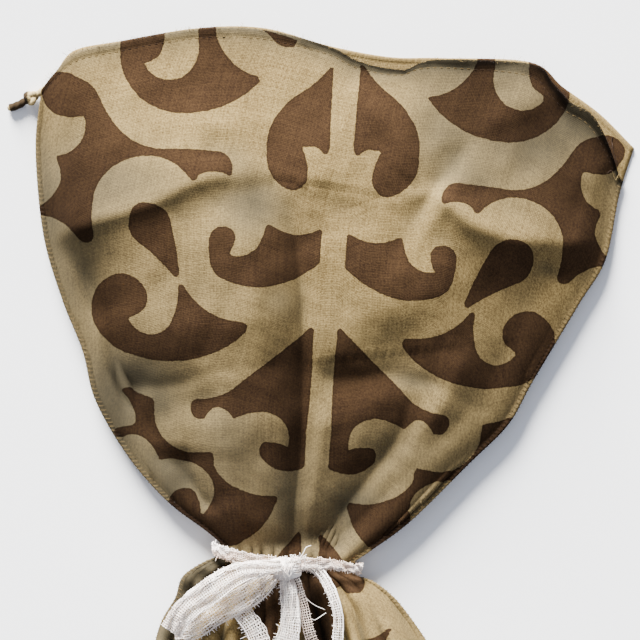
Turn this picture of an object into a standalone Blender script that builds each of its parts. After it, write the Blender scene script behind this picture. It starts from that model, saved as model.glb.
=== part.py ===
"""A burlap drawstring bag lying on its back, its waist tied with a gauze ribbon.

X runs to the right, Y from the closed bottom to the open mouth and Z up from the surface that
the bag lies on. The origin is the middle of the bag's footprint. All sizes below are in
millimetres and are turned to metres where a mesh or a curve is made.
"""
import math

import bmesh
import bpy
import numpy as np

MM = 0.001

# The panels as cut, and where the ribbon goes round them.
FLAT_WIDTH = 320.0
FLAT_LENGTH = 400.0
MOUTH_TO_TIE = 258.0
TIE = MOUTH_TO_TIE / FLAT_LENGTH

# The cloth.
CLOTH = 1.5
HEM = 2.8
HEM_WIDTH = 6.0
SEAM_WIDTH = 3.0
SEWN_GAP = 0.3

# How the bag is filled out, as heights over the seam between the panels.
PUFF_REACH = 0.14
BOTTOM_REACH = 26.0
NECK_LIFT = 2.6
NECK_HALF_LENGTH = 16.0
LEAST_ROOM = 0.7
ARCH = 38.0
ARCH_FADE = 3
MOUTH_FADE = 9
PROFILE_SOFTENING = 4.0

# The back turns up to the side seams over this width, or this share of a narrow row.
BACK_TURN = 26.0
BACK_TURN_SHARE = 0.22

# The drawcord.
CORD = 3.2
CORD_ROOM = 4.4
CORD_ROOM_REACH = 22.0

# The gauze ribbon.
GAUZE = 1.2
BAND_THICKNESS = 1.8
RIBBON_CLEARANCE = 2.0

# Outline of the panels, columns x, y, read down each side from the mouth.
LEFT_BODY = [
    (-146.5, 172.5), (-149.5, 142.5), (-145.5, 100.0), (-136.0, 67.5), (-126.0, 42.5),
    (-119.5, 17.5), (-103.5, -10.0), (-84.0, -32.5), (-65.0, -47.0), (-57.0, -53.5)]
RIGHT_BODY = [
    (149.5, 143.5), (142.0, 120.0), (135.0, 87.5), (121.5, 65.0), (99.0, 27.5),
    (86.5, 5.5), (67.5, -13.5), (38.0, -42.5), (18.5, -57.0), (9.5, -63.0)]
LEFT_FLARE = [
    (-57.0, -53.5), (-57.5, -59.5), (-66.0, -63.5), (-76.0, -70.5), (-79.5, -81.0), (-87.5, -96.5),
    (-93.5, -127.5), (-98.5, -162.5), (-97.5, -190.0)]
RIGHT_FLARE = [
    (9.5, -63.0), (10.0, -69.5), (21.0, -74.5), (32.0, -84.0), (45.0, -102.5), (60.0, -127.5),
    (71.5, -160.0), (72.5, -191.5)]

# Mouth and bottom edges, columns x, y, from left to right.
BACK_MOUTH = [
    (-146.5, 172.5), (-139.0, 182.5), (-130.0, 192.5), (-107.5, 197.0), (-68.5, 203.5),
    (-35.5, 203.5), (-2.5, 194.5), (27.5, 189.0), (52.5, 188.5), (97.5, 186.5),
    (114.0, 174.0), (132.5, 160.5), (149.5, 143.5)]
FRONT_MOUTH = [
    (-146.5, 172.5), (-139.0, 181.5), (-129.5, 191.0), (-107.5, 196.0), (-68.5, 202.5),
    (-35.5, 202.0), (-2.5, 193.5), (12.5, 186.0), (33.5, 182.0), (50.5, 187.0),
    (97.5, 185.0), (108.5, 175.5), (117.5, 166.0), (127.5, 160.5), (135.0, 148.5),
    (143.0, 126.5)]
FRONT_RIGHT_START = 0.068
TIE_LINE = [(-57.0, -56.5), (9.5, -66.3)]
BOTTOM = [(-97.5, -190.0), (-67.5, -198.5), (-12.5, -204.4), (42.5, -200.0), (72.5, -191.5)]

# Height of the front's inner face over the seams: distance from the mouth along the cloth, height.
FRONT_CROWN = [
    (0.0, 8.5), (20.0, 12.0), (50.0, 20.0), (100.0, 26.0), (150.0, 26.0), (190.0, 23.0),
    (230.0, 16.0), (258.0, 9.0), (276.0, 11.5), (300.0, 14.0), (340.0, 13.0), (400.0, 11.0)]

# Height of the side seams over the surface: distance from the tie towards the mouth, height.
SEAM_RISE = [
    (-145.0, 0.0), (-80.0, 3.0), (-30.0, 5.0), (0.0, 6.5), (20.0, 6.0), (60.0, 5.0),
    (150.0, 4.0), (185.0, 1.2), (204.0, 0.0)]

# Folds of the front panel: name, height over the cloth, reach to the left of the path, reach to
# its right, shares of the path over which it grows at its start and dies out at its end, and the
# path's x, y.
FOLDS = [
    ("packing crease, left", 4.5, 22, 8, 0.12, 0.20,
     [(-145.0, 96.0), (-122.5, 105.5), (-90.0, 116.0), (-67.5, 126.5), (-47.5, 129.5), (-25.0, 126.5)]),
    ("packing crease, middle", 1.5, 12, 7, 0.25, 0.25,
     [(-30.0, 127.5), (7.5, 119.0), (25.0, 116.0), (50.0, 120.0)]),
    ("packing crease, right", 5.5, 16, 9, 0.12, 0.10,
     [(47.5, 121.0), (57.5, 114.0), (70.0, 103.5), (85.0, 98.0), (105.0, 95.5), (137.5, 96.0)]),
    ("lower crease, left", -3.5, 15, 6, 0.20, 0.20,
     [(-116.0, 24.5), (-92.5, 24.0), (-75.0, 26.5), (-60.0, 31.5), (-36.5, 34.5), (-18.5, 36.5)]),
    ("lower crease, right", -4.0, 13, 6, 0.20, 0.20,
     [(-13.5, 31.5), (5.0, 28.5), (27.5, 30.5), (45.0, 27.5), (58.5, 21.5)]),
    ("middle valley", -5.5, 6, 20, 0.20, 0.05,
     [(-30.0, 125.0), (-19.0, 92.5), (-16.5, 62.5), (-16.0, 32.5), (-16.5, -2.5), (-19.5, -32.5),
      (-22.0, -62.0)]),
    ("slanting valley", -6.0, 5, 15, 0.15, 0.10,
     [(38.5, 25.0), (32.5, 2.5), (18.5, -18.5), (3.5, -38.5), (-8.5, -60.0)]),
    ("slanting ridge", 2.5, 7, 7, 0.15, 0.10, [(58.5, 21.0), (33.5, -10.0), (13.5, -35.0), (0.0, -58.0)]),
    ("right hollow", -2.5, 8, 8, 0.30, 0.30, [(58.5, 21.5), (72.5, 13.5), (86.5, 5.5)]),
    ("left side trough", -2.5, 10, 6, 0.25, 0.25,
     [(-142.5, 94.5), (-128.5, 84.5), (-118.5, 67.5), (-113.5, 50.0), (-116.5, 30.0)]),
    ("left low ridge", 3.5, 14, 6, 0.25, 0.25,
     [(-116.0, 9.5), (-100.0, -1.0), (-83.5, -7.5), (-75.5, -17.5)]),
    ("left low trough", -3.0, 6, 12, 0.25, 0.25, [(-72.5, -2.5), (-71.5, -20.0), (-60.0, -42.5)]),
    ("tent hollow", -2.5, 15, 15, 0.45, 0.45, [(-60.0, 155.0), (-60.0, 130.0)]),
    ("upper ridge", 2.0, 12, 24, 0.30, 0.30, [(5.0, 175.0), (27.5, 152.5), (37.5, 132.5), (42.5, 121.0)]),
    ("mouth corner ridge", 3.5, 9, 22, 0.25, 0.25,
     [(96.5, 181.5), (106.5, 157.5), (120.0, 135.0), (136.5, 115.0)]),
    ("right broad hollow", -4.0, 24, 24, 0.30, 0.30, [(102.5, 78.0), (88.0, 50.0), (72.5, 22.5)]),
    ("right side trough", -2.0, 6, 6, 0.25, 0.25, [(97.5, 88.5), (115.0, 77.5), (132.5, 72.5)]),
    ("left lobe", 3.0, 12, 12, 0.25, 0.25, [(-56.5, 20.0), (-53.5, -7.5), (-44.0, -50.0)]),
    ("middle lobe", 2.5, 7, 7, 0.25, 0.15, [(-5.0, 22.5), (-7.5, -7.5), (-14.5, -55.0)]),
    ("flare rim", 4.0, 7, 7, 0.10, 0.40,
     [(-57.5, -60.5), (-69.5, -70.0), (-74.5, -84.0), (-81.5, -100.0), (-86.0, -130.0), (-88.0, -165.0)]),
    ("flare left valley", -9.0, 9, 7, 0.10, 0.60,
     [(-46.0, -63.0), (-61.0, -75.0), (-68.0, -90.0), (-71.0, -110.0), (-72.0, -140.0), (-74.0, -180.0)]),
    ("flare left lobe", 4.0, 12, 12, 0.15, 0.50,
     [(-36.5, -66.0), (-43.5, -87.5), (-48.0, -112.5), (-50.0, -142.5), (-52.0, -180.0)]),
    ("flare middle valley", -12.0, 9, 8, 0.08, 0.70,
     [(-19.0, -62.0), (-10.5, -82.5), (-5.0, -102.5), (-1.0, -132.5), (1.0, -185.0)]),
    ("flare right lobe", 4.0, 14, 14, 0.15, 0.50,
     [(0.0, -68.0), (18.5, -87.5), (31.5, -112.5), (38.5, -142.5), (41.5, -180.0)])]
CREST_RADIUS = 2.5
FOLD_END = 0.25
FOLD_EDGE = 16.0
FOLD_EDGE_SHARE = 0.2
FOLD_BOTTOM = (3.0, 33.0)

# Waves that both panels share at the closed bottom: share of the width, height, half width.
BOTTOM_WAVES = [(0.10, 3.0, 0.05), (0.34, 5.0, 0.08), (0.55, 2.0, 0.05), (0.76, 6.0, 0.09)]

# Gathers pinched in by the ribbon: share of the width, depth, half width as a share.
NECK_PLEATS = [(0.14, 1.6, 0.05), (0.27, 1.8, 0.05), (0.42, 1.4, 0.05), (0.60, 1.8, 0.06), (0.83, 2.0, 0.06)]
PLEAT_REACH = 42.0

# Where the ribbon lies: x, y, lift over the cloth, width, roll in degrees.
BAND_LINE = [(-60.3, -56.5), (-48.0, -60.5), (-33.0, -63.0), (-22.5, -64.0), (-8.0, -63.5), (12.8, -66.3)]
BAND_WIDTH = 7.0
BAND_WIDTH_AT_SIDES = 5.4
BAND_SQUARENESS = 0.42
BAND_STATIONS = 36
BAND_CORNERS = (25, 90, 155, 205, 270, 335)
LOOP_LEFT = [
    (-32.2, -64.5, 4.5, 6.5, 8), (-44.0, -66.5, 6.0, 11.0, 16), (-59.0, -74.0, 6.5, 13.5, 12),
    (-73.0, -85.0, 7.0, 13.0, 6), (-80.5, -97.0, 4.5, 10.5, 0), (-73.5, -99.5, 1.6, 9.0, -6),
    (-59.0, -88.0, 0.6, 12.0, -10), (-45.0, -79.0, 0.8, 12.0, -12), (-33.5, -70.8, 3.0, 6.0, -6)]
LOOP_RIGHT = [
    (-17.6, -63.8, 4.5, 5.5, 8), (-8.0, -68.0, 4.0, 7.5, 14), (0.5, -78.0, 4.5, 8.5, 14),
    (5.0, -92.0, 4.0, 8.5, 10), (4.0, -105.0, 2.5, 8.0, 0), (-4.5, -108.0, 0.8, 7.0, -8),
    (-10.0, -95.0, 0.3, 8.0, -12), (-13.0, -82.5, 0.3, 7.0, -10), (-18.4, -72.2, 3.0, 5.0, -6)]
TAIL_CENTRE = [
    (-25.0, -72.0, 3.5, 6.5, 0), (-22.5, -80.0, 2.5, 9.0, 8), (-22.0, -92.0, 1.2, 11.0, 14),
    (-25.0, -105.0, 0.8, 12.0, 8), (-27.5, -122.0, 0.2, 12.5, 0)]
TAIL_LEFT = [
    (-48.5, -84.0, 0.2, 9.0, 0), (-41.5, -92.5, 0.2, 10.5, 0), (-37.5, -101.5, 0.2, 11.0, 0),
    (-38.5, -114.0, 0.2, 11.5, 0), (-43.5, -130.0, 0.2, 12.0, 0)]
RIBBON_CUP = 1.2
RIBBON_FOOT = 8.0

# How much higher a sloping sheet reaches than its thickness.
STEEP = 1.3

# The knot: its middle in x and y, then its size along x, y and z. A knot is this much less round
# than a ball.
KNOT = (-25.0, -65.5, 13.0, 10.5, 7.5)
KNOT_POWER = 0.85

# The cord's route: x, y, height of its middle over the surface.
CORD_ROUTE = [
    (-136.5, 179.0, 3.7), (-139.5, 177.0, 3.7), (-142.5, 174.5, 3.7), (-145.8, 172.0, 3.6),
    (-148.0, 170.6, 3.0)]
CORD_KNOT = (-151.7, 168.6, 7.0, 7.5, 5.6)
CORD_END = [(-155.6, 166.4, 1.9), (-158.5, 164.8, 1.75), (-163.6, 163.0, 1.75)]
CORD_KNOT_FOOT = 0.15

# Finishes: colour, roughness.
FINISHES = {
    "burlap": ((0.42, 0.33, 0.19, 1.0), 0.95),
    "gauze": ((0.84, 0.79, 0.74, 1.0), 0.9),
    "cord": ((0.50, 0.42, 0.27, 1.0), 0.9)}

# How finely shapes are cut: steps between two points of a path, stations along a fold, then the
# panels' rows in the body, rows in the flare and columns.
CURVE_STEPS = 12
FOLD_STATIONS = 14
FRONT_GRID = (28, 11, 34)
BACK_GRID = (17, 8, 20)
WAIST_ROWS = (-14.0, -8.0, -3.0, 3.0, 8.0, 14.0)
ROW_MARGIN = 6.0
EDGE_COLUMN_SHARE = 2.4
LOOP_STATIONS = 26
TAIL_STATIONS = 12
RIBBON_COLUMNS = 5
RIBBON_SMOOTHING = 4


def material(name):
    """A plain finish for one kind of piece."""
    made = bpy.data.materials.get(name)
    if made is None:
        colour, roughness = FINISHES[name]
        made = bpy.data.materials.new(name)
        made.use_nodes = True
        shader = made.node_tree.nodes["Principled BSDF"]
        shader.inputs["Base Color"].default_value = colour
        shader.inputs["Roughness"].default_value = roughness
        shader.inputs["Metallic"].default_value = 0.0
    return made


def smooth_path(rows, shares):
    """Points of a smooth curve through the rows, at the given shares of its length."""
    rows = np.asarray(rows, dtype=float)
    padded = np.vstack([2 * rows[0] - rows[1], rows, 2 * rows[-1] - rows[-2]])
    steps = np.linspace(0.0, 1.0, CURVE_STEPS, endpoint=False)[:, None]
    runs = []
    for i in range(len(rows) - 1):
        a, b, c, d = padded[i:i + 4]
        runs.append(0.5 * (2 * b + (c - a) * steps + (2 * a - 5 * b + 4 * c - d) * steps ** 2
                           + (3 * b - a - 3 * c + d) * steps ** 3))
    fine = np.vstack(runs + [rows[-1:]])
    length = np.concatenate([[0.0], np.cumsum(np.linalg.norm(np.diff(fine[:, :2], axis=0), axis=1))])
    wanted = np.asarray(shares) * length[-1]
    return np.stack([np.interp(wanted, length, fine[:, k]) for k in range(rows.shape[1])], axis=-1)


def profile(rows, place):
    """A height read from rows of (place, height), softened between them."""
    places, heights = np.array(rows).T
    spread = [-2, -1, 0, 1, 2]
    return sum(np.interp(place + step * PROFILE_SOFTENING, places, heights) for step in spread) / len(spread)


def side_point(body, flare, start, along):
    """One side's outline at the shares along the panel, from the mouth to the bottom."""
    upper = smooth_path(body, start + (1 - start) * np.clip(along / TIE, 0, 1))
    lower = smooth_path(flare, np.clip((along - TIE) / (1 - TIE), 0, 1))
    return np.where((along <= TIE)[:, None], upper, lower)


def plan(across, along, mouth, right_start):
    """X and Y of a panel's grid: its sides and ends joined, with rows arched over the tie."""
    left = side_point(LEFT_BODY, LEFT_FLARE, 0.0, along)[:, None, :]
    right = side_point(RIGHT_BODY, RIGHT_FLARE, right_start, along)[:, None, :]
    s = across[None, :, None]
    chord = left * (1 - s) + right * s
    arch = np.zeros_like(chord)
    arch[..., 1] = ARCH * 4 * s[..., 0] * (1 - s[..., 0])
    ends = chord[0], chord[-1]
    top = smooth_path(mouth, across)
    top[0], top[-1] = ends[0][0], ends[0][-1]
    rest = (top - ends[0])[None] - arch[:1]
    low = smooth_path(BOTTOM, across) - ends[1]
    body = np.clip(along / TIE, 0, 1)[:, None, None]
    flare = np.clip((along - TIE) / (1 - TIE), 0, 1)[:, None, None]
    return chord + arch * (1 - body ** ARCH_FADE) + rest * (1 - body) ** MOUTH_FADE + low[None] * flare


def edge_distance(across, xy):
    """Each point's distance from the nearer side seam, along its row."""
    width = np.linalg.norm(np.diff(xy, axis=1), axis=2).sum(axis=1)[:, None]
    return np.minimum(across, 1 - across)[None] * width, width


def fold_relief(xy):
    """Heights that the folds add: a soft crest along each path, dying out to its sides and ends."""
    relief = np.zeros(xy.shape[:2])
    for _name, height, left_reach, right_reach, grows, dies, path in FOLDS:
        points = smooth_path(path, np.linspace(0, 1, FOLD_STATIONS))
        start, run = points[:-1], np.diff(points, axis=0)
        off = xy[:, :, None, :] - start
        share = np.clip((off * run).sum(-1) / (run * run).sum(-1), 0, 1)
        away = off - share[..., None] * run
        distance = np.linalg.norm(away, axis=-1)
        nearest = distance.argmin(-1)[..., None]
        side = np.take_along_axis(run[:, 0] * off[..., 1] - run[:, 1] * off[..., 0], nearest, -1)[..., 0]
        place = (nearest[..., 0] + np.take_along_axis(share, nearest, -1)[..., 0]) / len(run)
        distance = np.take_along_axis(distance, nearest, -1)[..., 0]
        reach = np.where(side > 0, left_reach, right_reach)
        crest = np.exp(-(np.sqrt(distance ** 2 + CREST_RADIUS ** 2) - CREST_RADIUS) / reach)
        ends = np.clip(np.minimum(place / grows, (1 - place) / dies), 0, 1)
        relief += height * crest * (FOLD_END + (1 - FOLD_END) * ends * ends * (3 - 2 * ends))
    return relief


def bumps(rows, across):
    """Soft bumps across the panel: share, height and half width of each."""
    return sum(height * np.exp(-((across - place) / half) ** 2) for place, height, half in rows)


def over_tie(xy):
    """Distance in Y from the straight line of the tie, towards the mouth."""
    (x0, y0), (x1, y1) = TIE_LINE
    return xy[..., 1] - y0 - (xy[..., 0] - x0) * (y1 - y0) / (x1 - x0)


def seam_height(xy):
    """Height of the plane in which the two panels are sewn together."""
    return CLOTH + SEWN_GAP / 2 + profile(SEAM_RISE, over_tie(xy))


def neck_share(xy):
    """1 at the tie and 0 away from it."""
    return np.exp(-(over_tie(xy) / NECK_HALF_LENGTH) ** 2)


def shared_waves(across, along):
    """Ripples of the closed bottom, which both panels follow."""
    flare = np.clip((along - TIE) / (1 - TIE), 0, 1)[:, None]
    return bumps(BOTTOM_WAVES, across)[None] * flare ** 2


def back_underside(across, along, xy):
    """The back's lower face: flat on the surface, lifted at its side seams and under the tie."""
    distance, width = edge_distance(across, xy)
    lift = NECK_LIFT * neck_share(xy)
    span = np.minimum(BACK_TURN, BACK_TURN_SHARE * width)
    edge = np.clip(1 - (distance - SEAM_WIDTH) / span, 0, 1) ** 2
    rise = seam_height(xy) - SEWN_GAP / 2 - CLOTH
    return lift + np.maximum(rise - lift, 0) * edge + shared_waves(across, along)


def front_inside(across, along, xy):
    """The front's inner face: crowned between the seams, creased, and gathered at the tie."""
    distance, width = edge_distance(across, xy)
    crown = profile(FRONT_CROWN, along * FLAT_LENGTH)[:, None]
    reach = PUFF_REACH * width
    filled = 1 - np.exp(-np.maximum(distance - SEAM_WIDTH, 0) / reach)
    from_bottom = (1 - along)[:, None] * FLAT_LENGTH
    closed = 1 - np.exp(-np.maximum(from_bottom - SEAM_WIDTH, 0) / BOTTOM_REACH)
    free = np.clip((distance - SEAM_WIDTH) / np.minimum(FOLD_EDGE, FOLD_EDGE_SHARE * width), 0, 1)
    free = free * free * (3 - 2 * free)
    free = free * np.interp(from_bottom, FOLD_BOTTOM, (0.0, 1.0))
    gathered = np.exp(-np.abs(along - TIE) * FLAT_LENGTH / PLEAT_REACH)[:, None]
    pleats = bumps(NECK_PLEATS, across)[None] * gathered
    corner = np.linalg.norm(xy - np.array(LEFT_BODY[0]), axis=-1)
    room = CORD_ROOM * np.exp(-(corner / CORD_ROOM_REACH) ** 2)
    height = crown * filled * closed + (fold_relief(xy) - pleats) * free + room
    least = shared_waves(across, along) + seam_height(xy) + SEWN_GAP / 2
    floor_gap = back_underside(across, along, xy) + CLOTH + SEWN_GAP
    raised = seam_height(xy) + SEWN_GAP / 2 + height + shared_waves(across, along)
    sewn = distance < SEAM_WIDTH + SEWN_GAP
    return np.maximum(raised, np.where(sewn, least, floor_gap + LEAST_ROOM))


def grid_object(name, points, finish, flip=False, closed=False):
    """An object from a grid of points; a closed one joins its last column to its first."""
    rows, columns = points.shape[:2]
    number = np.arange(rows * columns).reshape(rows, columns)
    right = np.roll(number, -1, axis=1) if closed else number[:, 1:]
    left = number if closed else number[:, :-1]
    faces = np.stack([left[:-1], left[1:], right[1:], right[:-1]], axis=-1).reshape(-1, 4)
    if flip:
        faces = faces[:, ::-1]
    mesh = bpy.data.meshes.new(name)
    mesh.from_pydata((points.reshape(-1, 3) * MM).tolist(), [], faces.tolist())
    mesh.materials.append(material(finish))
    mesh.shade_smooth()
    made = bpy.data.objects.new(name, mesh)
    bpy.context.collection.objects.link(made)
    return made


def thicken(made, thickness, offset):
    """Gives a sheet its thickness, to the side of its faces that the offset says."""
    solid = made.modifiers.new("thickness", "SOLIDIFY")
    solid.thickness = thickness * MM
    solid.offset = offset
    solid.use_even_offset = True
    solid.use_quality_normals = True


def hem_rows(made, rows, columns):
    """Marks the first rows, those of the mouth hem, where the turned cloth is thicker."""
    group = made.vertex_groups.new(name="hem")
    group.add(list(range(rows * columns)), 1.0, "REPLACE")
    solid = made.modifiers["thickness"]
    solid.vertex_group = "hem"
    solid.thickness_vertex_group = CLOTH / HEM
    solid.thickness = HEM * MM


def spaced(rows_body, rows_flare):
    """Shares along the panel: the hem, the body, the gathered waist, the flare and the seam."""
    hem = [0.0, 0.5 * HEM_WIDTH / FLAT_LENGTH, HEM_WIDTH / FLAT_LENGTH]
    waist = TIE + np.array(WAIST_ROWS) / FLAT_LENGTH
    margin = ROW_MARGIN / FLAT_LENGTH
    body = np.linspace(hem[-1] + margin, waist[0] - margin, rows_body)
    flare = np.linspace(waist[-1] + margin, 1 - EDGE_COLUMN_SHARE * SEAM_WIDTH / FLAT_LENGTH, rows_flare)
    return np.concatenate([hem, body, waist, flare, [1 - SEAM_WIDTH / FLAT_LENGTH, 1.0]])


def columns_across(count):
    """Shares across the panel, with the sewn edge's own narrow column at each side."""
    edge = SEAM_WIDTH / FLAT_WIDTH
    inner = np.linspace(EDGE_COLUMN_SHARE * edge, 1 - EDGE_COLUMN_SHARE * edge, count)
    return np.concatenate([[0.0, edge], inner, [1 - edge, 1.0]])


def bag_front():
    """The front panel. Returns its outer face."""
    rows_body, rows_flare, columns = FRONT_GRID
    along = spaced(rows_body, rows_flare)
    across = columns_across(columns)
    xy = plan(across, along, FRONT_MOUTH, FRONT_RIGHT_START)
    z = front_inside(across, along, xy)
    made = grid_object("bag_front", np.dstack([xy, z]), "burlap")
    thicken(made, CLOTH, 1.0)
    hem_rows(made, 2, len(across))
    return np.dstack([xy, z + CLOTH * STEEP])


def bag_back():
    """The back panel."""
    rows_body, rows_flare, columns = BACK_GRID
    along = spaced(rows_body, rows_flare)
    across = columns_across(columns)
    xy = plan(across, along, BACK_MOUTH, 0.0)
    z = back_underside(across, along, xy)
    made = grid_object("bag_back", np.dstack([xy, z]), "burlap", flip=True)
    thicken(made, CLOTH, -1.0)


def highest(surfaces, x, y, reach):
    """Highest point, within reach of each place, of the surfaces that lie beneath."""
    points = np.vstack([surface.reshape(-1, 3) for surface in surfaces])
    away = np.hypot(points[:, :1] - x, points[:, 1:2] - y)
    return np.where(away < reach, points[:, 2:], 0.0).max(axis=0)


def ribbon(name, rows, beneath, stations):
    """A strip of ribbon: its path over what lies beneath, carried across its width and rolled.

    Returns the strip's upper face, for the next strip to lie on.
    """
    x, y, lift, width, roll = smooth_path(rows, np.linspace(0, 1, stations)).T
    resting = highest(beneath, x, y, RIBBON_FOOT) + RIBBON_CLEARANCE
    for _ in range(RIBBON_SMOOTHING):
        padded = np.concatenate([resting[:1], resting, resting[-1:]])
        resting = (padded[:-2] + 2 * padded[1:-1] + padded[2:]) / 4
    z = resting + lift
    heading = np.stack([np.gradient(x), np.gradient(y)], axis=-1)
    heading /= np.linalg.norm(heading, axis=1)[:, None]
    roll = np.radians(roll)
    cross = np.stack([-heading[:, 1] * np.cos(roll), heading[:, 0] * np.cos(roll), np.sin(roll)], axis=-1)
    u = np.linspace(-0.5, 0.5, RIBBON_COLUMNS)[None, :, None]
    middle = np.stack([x, y, z], axis=-1)[:, None, :]
    points = middle + u * width[:, None, None] * cross[:, None, :]
    points[..., 2] -= RIBBON_CUP * (2 * u[..., 0]) ** 2
    made = grid_object(name, points, "gauze")
    thicken(made, GAUZE, 0.0)
    return points + np.array([0.0, 0.0, GAUZE])


def tie_band(beneath):
    """The ribbon's turn around the waist: a flat section carried round the gathered cloth.

    Returns the height of its top.
    """
    turn = np.linspace(0, 2 * math.pi, BAND_STATIONS, endpoint=False)
    line = smooth_path(BAND_LINE, 0.5 - 0.5 * np.cos(turn))
    cloth = highest(beneath, line[:, 0], line[:, 1], BAND_WIDTH / 2 + CLOTH)
    top = cloth.max() + SEWN_GAP + BAND_THICKNESS / 2
    low = BAND_THICKNESS / 2
    side = (top + low) / 2
    bend = (top - low) / 2 * np.sign(np.sin(turn)) * np.abs(np.sin(turn)) ** BAND_SQUARENESS
    path = np.column_stack([line, side + bend])
    ahead = np.roll(path, -1, axis=0) - np.roll(path, 1, axis=0)
    ahead /= np.linalg.norm(ahead, axis=1)[:, None]
    outward = np.column_stack([-ahead[:, 2], np.zeros(len(turn)), ahead[:, 0]])
    outward /= np.linalg.norm(outward, axis=1)[:, None]
    corner = np.radians(BAND_CORNERS)
    half = 0.5 * (BAND_WIDTH_AT_SIDES + (BAND_WIDTH - BAND_WIDTH_AT_SIDES) * np.sin(turn) ** 2)
    width = half[:, None] * np.cos(corner) / math.cos(corner[0])
    thick = 0.5 * BAND_THICKNESS * np.sin(corner)
    along_bag = width[..., None] * np.array([0.0, 1.0, 0.0])
    ring = path[:, None] + along_bag + thick[None, :, None] * outward[:, None]
    rings = np.concatenate([ring, ring[:1]])
    made = grid_object("tie_band", rings, "gauze", closed=True)
    weld(made)
    return top + BAND_THICKNESS / 2


def weld(made):
    """Joins the first and last rings of a closed loop, and turns its faces outwards."""
    shape = bmesh.new()
    shape.from_mesh(made.data)
    bmesh.ops.remove_doubles(shape, verts=shape.verts, dist=0.00001)
    bmesh.ops.recalc_face_normals(shape, faces=shape.faces)
    shape.to_mesh(made.data)
    shape.free()


def blob(name, centre, size, finish):
    """A rounded lump with slightly flattened sides, as a knot pulled tight."""
    shape = bmesh.new()
    bmesh.ops.create_uvsphere(shape, u_segments=16, v_segments=10, radius=1.0)
    for vertex in shape.verts:
        for k in range(3):
            flat = math.copysign(abs(vertex.co[k]) ** KNOT_POWER, vertex.co[k])
            vertex.co[k] = (centre[k] + 0.5 * size[k] * flat) * MM
    bmesh.ops.recalc_face_normals(shape, faces=shape.faces)
    mesh = bpy.data.meshes.new(name)
    shape.to_mesh(mesh)
    shape.free()
    mesh.materials.append(material(finish))
    mesh.shade_smooth()
    made = bpy.data.objects.new(name, mesh)
    bpy.context.collection.objects.link(made)


def cord(name, route, count):
    """A round cord along a smooth route."""
    points = smooth_path(route, np.linspace(0, 1, count)) * MM
    curve = bpy.data.curves.new(name, "CURVE")
    curve.dimensions = "3D"
    curve.bevel_depth = CORD / 2 * MM
    curve.bevel_resolution = 2
    curve.use_fill_caps = True
    spline = curve.splines.new("POLY")
    spline.points.add(count - 1)
    for point, place in zip(spline.points, points):
        point.co = (*place, 1.0)
    curve.materials.append(material("cord"))
    made = bpy.data.objects.new(name, curve)
    bpy.context.collection.objects.link(made)


def main():
    """Builds every piece of the bag."""
    for old in list(bpy.data.objects):
        bpy.data.objects.remove(old, do_unlink=True)
    front = [bag_front()]
    bag_back()
    band_top = tie_band(front)
    x, y, length, width, height = KNOT
    blob("tie_knot", (x, y, band_top + SEWN_GAP + height / 2), (length, width, height), "gauze")
    tail = ribbon("tie_tail_left", TAIL_LEFT, front, TAIL_STATIONS)
    ribbon("tie_tail_centre", TAIL_CENTRE, front, TAIL_STATIONS)
    ribbon("tie_loop_left", LOOP_LEFT, front + [tail], LOOP_STATIONS)
    ribbon("tie_loop_right", LOOP_RIGHT, front, LOOP_STATIONS)
    cord("drawcord", CORD_ROUTE, 7)
    x, y, length, width, height = CORD_KNOT
    blob("drawcord_knot", (x, y, CORD_KNOT_FOOT + height / 2), (length, width, height), "cord")
    cord("drawcord_end", CORD_END, 5)


main()
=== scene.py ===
"""The looks of a burlap drawstring bag: woven, printed cloth, sewn edges, a gauze bow and a cord.

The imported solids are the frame. X runs to the bag's right, Y from its closed bottom to its open
mouth and Z up. Sizes in this file are millimetres, and `metres` turns them where a mesh is made.
"""
import math

import bpy
import numpy as np
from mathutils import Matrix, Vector


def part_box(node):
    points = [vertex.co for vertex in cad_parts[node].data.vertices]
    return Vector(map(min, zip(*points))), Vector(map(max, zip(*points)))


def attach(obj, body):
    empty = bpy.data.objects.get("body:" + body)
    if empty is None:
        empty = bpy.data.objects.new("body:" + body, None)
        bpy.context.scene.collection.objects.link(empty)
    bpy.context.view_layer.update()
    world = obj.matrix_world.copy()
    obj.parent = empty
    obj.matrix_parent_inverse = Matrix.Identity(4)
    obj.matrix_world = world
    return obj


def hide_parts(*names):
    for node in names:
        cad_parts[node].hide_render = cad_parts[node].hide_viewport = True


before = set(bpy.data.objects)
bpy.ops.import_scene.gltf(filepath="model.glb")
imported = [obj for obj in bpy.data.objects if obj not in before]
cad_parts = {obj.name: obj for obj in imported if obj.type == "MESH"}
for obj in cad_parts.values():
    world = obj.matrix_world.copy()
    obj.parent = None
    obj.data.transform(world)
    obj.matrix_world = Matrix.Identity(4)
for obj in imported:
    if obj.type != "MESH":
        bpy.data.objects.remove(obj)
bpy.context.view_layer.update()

bl_info = {
    "name": "Burlap Bag",
    "version": (1, 0, 0),
    "blender": (4, 5, 0),
    "location": "View3D > Sidebar > Bag",
    "description": "Weaves, prints, sews and ties a drawstring bag around its packed solids",
    "category": "Object",
}

MM = 0.001

# A vector times this keeps its X and Y alone.
FLAT = (1, 1, 0)

# The camera looks straight down on this much of the surface from far off.
VIEW_CENTRE = (-7.5, 57.5)
VIEW_WIDTH = 320.0
CAMERA_HEIGHT = 2400.0
SENSOR = 36.0

# How far the camera sees, and the floor's side, in metres.
CAMERA_SEES = 20.0
FLOOR = 6.0

# Where the key light comes from: the upper left, fairly low, so that folds show.
KEY_FROM = (-0.28, 0.88, 0.31)

# The panels as cut, and where the ribbon goes round them.
FLAT_LENGTH = 400.0
MOUTH_TO_TIE = 258.0
TIE = MOUTH_TO_TIE / FLAT_LENGTH

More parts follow.
